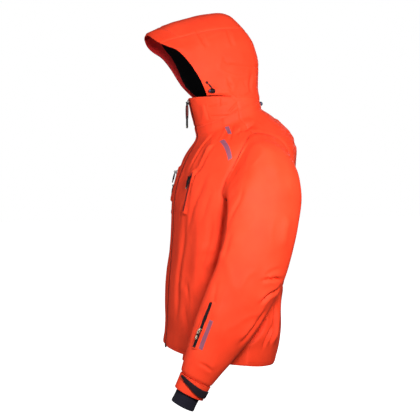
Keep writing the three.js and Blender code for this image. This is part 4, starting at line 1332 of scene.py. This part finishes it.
def build_lock(name, origin, axes, turn):
    """Barrel lock: a ribbed sleeve with a cord hole and a sprung plunger."""
    centre = origin - axes[1] * LOCK_OUT
    axis = -axes[0] * turn
    profile = [(0, -8), (3.2, -8), (4.6, -7.4), (5.7, -5.6)]
    for h in np.arange(-5, 4, 1.5):
        profile += [(6.0, h), (6.0, h + 0.8), (5.6, h + 0.95), (5.6, h + 1.35)]
    profile += [(6.0, 4.2), (5.4, 6.3), (4.5, 6.5), (4.4, 5.6), (4.4, 3)]
    collar = lathe([(1.6, -6.2), (2.6, -6.5), (2.6, -5.8), (1.6, -5.6), (1.6, -6.2)], centre, UP, 24)
    other = (2 * centre - collar[0], [f[::-1] for f in collar[1]])
    lock = f"hood_{name}_lock"
    rigid(lock, merge([lathe(profile, centre, axis), collar, other]), BLACK, "jacket", cad=True)
    knob = lathe([(0, 3), (3.8, 3), (3.9, 9.2), (3.4, 10.1), (2.4, 10.5), (1.6, 10.2), (0, 10.1)], centre, axis)
    # The button's blue-grey colour is a painted highlight on the black lock.
    rigid(f"{lock}_button", knob, PAINTED_HIGHLIGHT_BLUE_GREY, f"{lock}_button", cad=True)


def build_adjusters():
    for name, side in SIDES.items():
        high, high_axes = hood_frame(side, 0.1, 0.215, 0.4)
        eyelet = lathe([
            (1.9, 0), (1.9, 1.3), (2.6, 1.6), (3.6, 1.3), (4.3, 0.3), (4.3, -0.4), (1.9, -0.4), (1.9, 0),
        ], high, -high_axes[1])
        rigid(f"hood_eyelet_{name}", eyelet, EYELET_RED, "jacket", cad=True)
        low, low_axes = hood_frame(side, 0.13, 0.085, 1)
        build_lock(name, low, low_axes, side)
        start = high - high_axes[1] * 3.3
        end = low - low_axes[1] * LOCK_OUT + UP * 7.4
        cord = hose(fine([high + high_axes[1], start, lerp(start, end, 0.5) + X * side * 1.5, end], 10), 1.25)
        rigid(f"hood_cord_{name}", cord, WEBBING, "jacket", cad=True)
    build_lock("rear", np.array([0, 108.8, 708.0]), (-X, -Y, UP), 1)


def build_hanger():
    """Flat webbing bent twice, its ends stitched to the nape."""
    y, z, t = HOOK[1], HOOK[2], 1.6
    half = [(-25.2, -15), (-25.2, -6), (-25.2, -3), (-24.6, -0.4), (-22.4, 0.75), (-18, 0.8)]
    route = np.array(half + [(0, 0.8)] + [(-x, up) for x, up in half[::-1]], float)

    def at(u, v):
        p = rows(route, u * (len(route) - 1))
        return np.stack([p[..., 0], y + lerp(-4, 4, v) + 0 * p[..., 0], z + p[..., 1]], -1)
    cloth("hanger_loop", "jacket", "webbing", at, (80, 8), lambda p: 0 * p + [0, y, z - 14.0], t,
          [WEBBING, WEBBING], lift=t / 2, roll=(0.25, 0.8), rolled="vV")


# ---- printed strips and stitching ---------------------------------------


def build_strips():
    """Plain reflective strips on the shoulder and the forearm."""
    corners = (  # (angle, ring) of the body at each strip's corners
        ((0.93, 9.04), (1.047, 9.25), (1.103, 6.45), (1.164, 6.67)),
        ((1.22, 11.5), (1.335, 11.5), (1.19, 9.9), (1.275, 9.9)),
    )
    for k, (a, b, c, d) in enumerate(np.array(corners)):
        def at(u, v, a=a, b=b, c=c, d=d):
            u, v = (q[..., None] for q in both(u, v))
            q = lerp(lerp(a, b, u), lerp(c, d, u), v)
            return body_at(q[..., 0], q[..., 1])
        cloth(f"shoulder_strip_{k + 1}", "jacket", "shell", at, (8, 24), body_centre, 0.5, [GREY, GREY],
              body_relief, cad=False, lift=0.7, roll=(0.3, 1))
    cloth("forearm_strip", "left_arm", "shell", lambda u, v: forearm_surface(lerp(11, 21, u), lerp(-64, 22, v)),
          (10, 50), tube_middle(SLEEVE["left"], 1.0), 0.5, [GREY, GREY],
          lambda p, n, u, v: sleeve_height("left", p, n), cad=False, lift=0.7, roll=(0.3, 1))


STITCH_LIFT, STITCH_PITCH = 0.45, 4.2


def stitches(at, relief, centre, *runs):
    """Short raised stitches along straight runs from one (u, v) of a surface to another."""
    parts = []
    for start, end in runs:
        u, v = lerp(np.array(start), np.array(end), np.linspace(0, 1, 400)[:, None]).T
        p, n = at(u, v), normals_of(at, u, v, centre)
        height = STITCH_LIFT + (relief(p, n, u, v) if relief else 0)
        p = p + n * np.reshape(height, (-1, 1))
        length = running(p)
        for d in np.arange(STITCH_PITCH, length[-1] - STITCH_PITCH, STITCH_PITCH):
            here = interp(d, length, p)
            t = unit(interp(d + 1.2, length, p) - here)
            out = unit(interp(d, length, n))
            parts.append(brick(here, t, out, np.cross(t, out), (2.7, 0.5, 0.65)))
    return parts


def build_stitching():
    for name, side in SIDES.items():
        rigid(f"front_{name}_stitching", merge(stitches(
            front_panel(side), body_relief, body_centre,
            ((0.03, 0.0), (0.03, 0.99)), ((0.055, 0.0), (0.055, 0.99)),
            ((0.0, 0.022), (0.99, 0.022)), ((0.0, 0.03), (0.99, 0.03)), ((0.02, 0.985), (0.98, 0.985)),
        )), THREAD, "jacket")
        on_cuff = (tube_round(CUFF[name], side), None, tube_middle(CUFF[name], side))
        on_sleeve = (sleeve_round(name), sleeve_relief(name), tube_middle(SLEEVE[name], side))
        parts = stitches(*on_cuff, ((0, 0.955), (1, 0.955)), ((0, 0.04), (1, 0.04)))
        parts += stitches(*on_sleeve, ((0, 0.985), (1, 0.985)))
        rigid(f"{name}_cuff_stitching", merge(parts), THREAD, f"{name}_arm")
        seam_stitches = merge(stitches(*on_sleeve, ((0, 0.008), (1, 0.008))))
        o = mesh_object(f"{name}_armhole_stitching", seam_stitches, [THREAD])
        arm_blend(o, name)
    parts = stitches(back_panel, body_relief, body_centre,
                     ((0.005, 0.03), (0.995, 0.03)), ((0.005, 0.04), (0.995, 0.04)))
    parts += stitches(back_yoke, body_relief, body_centre,
                      ((0.16, 0.03), (0.84, 0.03)), ((0.16, 0.06), (0.84, 0.06)))
    rigid("back_stitching", merge(parts), THREAD, "jacket")


# ---- light and floor ----------------------------------------------------
def area_light(name, at, aim, size, power):
    """A square lamp that looks at aim."""
    data = bpy.data.lights.new(name, "AREA")
    data.shape = "RECTANGLE"
    data.size = data.size_y = size
    data.energy = power
    o = add_object(name, data)
    o.location = at
    o.rotation_euler = (Vector(aim) - Vector(at)).to_track_quat("-Z", "Y").to_euler()


def build_stage():
    white = (1, 1, 1, 1)
    scene = bpy.context.scene
    scene.view_settings.view_transform = "Standard"
    scene.world = bpy.data.worlds.new("studio")
    scene.world.use_nodes = True
    tree = scene.world.node_tree
    soft = tree.nodes["Background"]
    feed(tree, soft, {"Color": white, "Strength": 0.15})
    feed(tree, tree.nodes["World Output"], {"Surface": add_node(tree, "MixShader", {
        "Fac": add_node(tree, "LightPath", out="Is Camera Ray"), 1: soft.outputs["Background"],
        2: add_node(tree, "Background", {"Color": white, "Strength": 1.0}),
    })})
    area_light("key", (1.3, -0.05, 0.12), (0.2, -0.04, -0.25), 0.3, 26.5)
    area_light("fill_front", (-0.3, -2.6, 0.5), (0, 0, -0.3), 1.6, 14)
    area_light("fill_low", (0.5, -1.7, -0.75), (0, -0.15, 0.15), 0.9, 5.5)
    area_light("fill_top", (-0.5, -0.3, 2.2), (0, -0.05, 0), 1.2, 5)
    area_light("fill_back", (-2.5, 1.5, 0.6), (0, 0, -0.3), 1.6, 16)
    half, low = 12.0, -1.15
    mesh = bpy.data.meshes.new("floor")
    corners = [(x * half, y * half, low) for x, y in ((-1, -1), (1, -1), (1, 1), (-1, 1))]
    mesh.from_pydata(corners, [], [(0, 1, 2, 3)])
    pale, tree, shader = new_material("pale_floor")
    feed(tree, shader, {
        "Base Color": ramp(tree, add_node(tree, "TexNoise", {"Scale": 3}), 0.3, 0.93, 0.7, 0.97),
        "Roughness": 0.9, "Emission Color": white, "Emission Strength": 0.9,
    })
    mesh.materials.append(pale)
    floor = add_object("floor", mesh)
    floor.visible_diffuse = False  # its glow would light the jacket from below
    floor.visible_glossy = False


build_body()
build_collar()
build_sleeves()
build_hood()
build_zips()
build_adjusters()
build_hanger()
build_strips()
build_stitching()
build_stage()
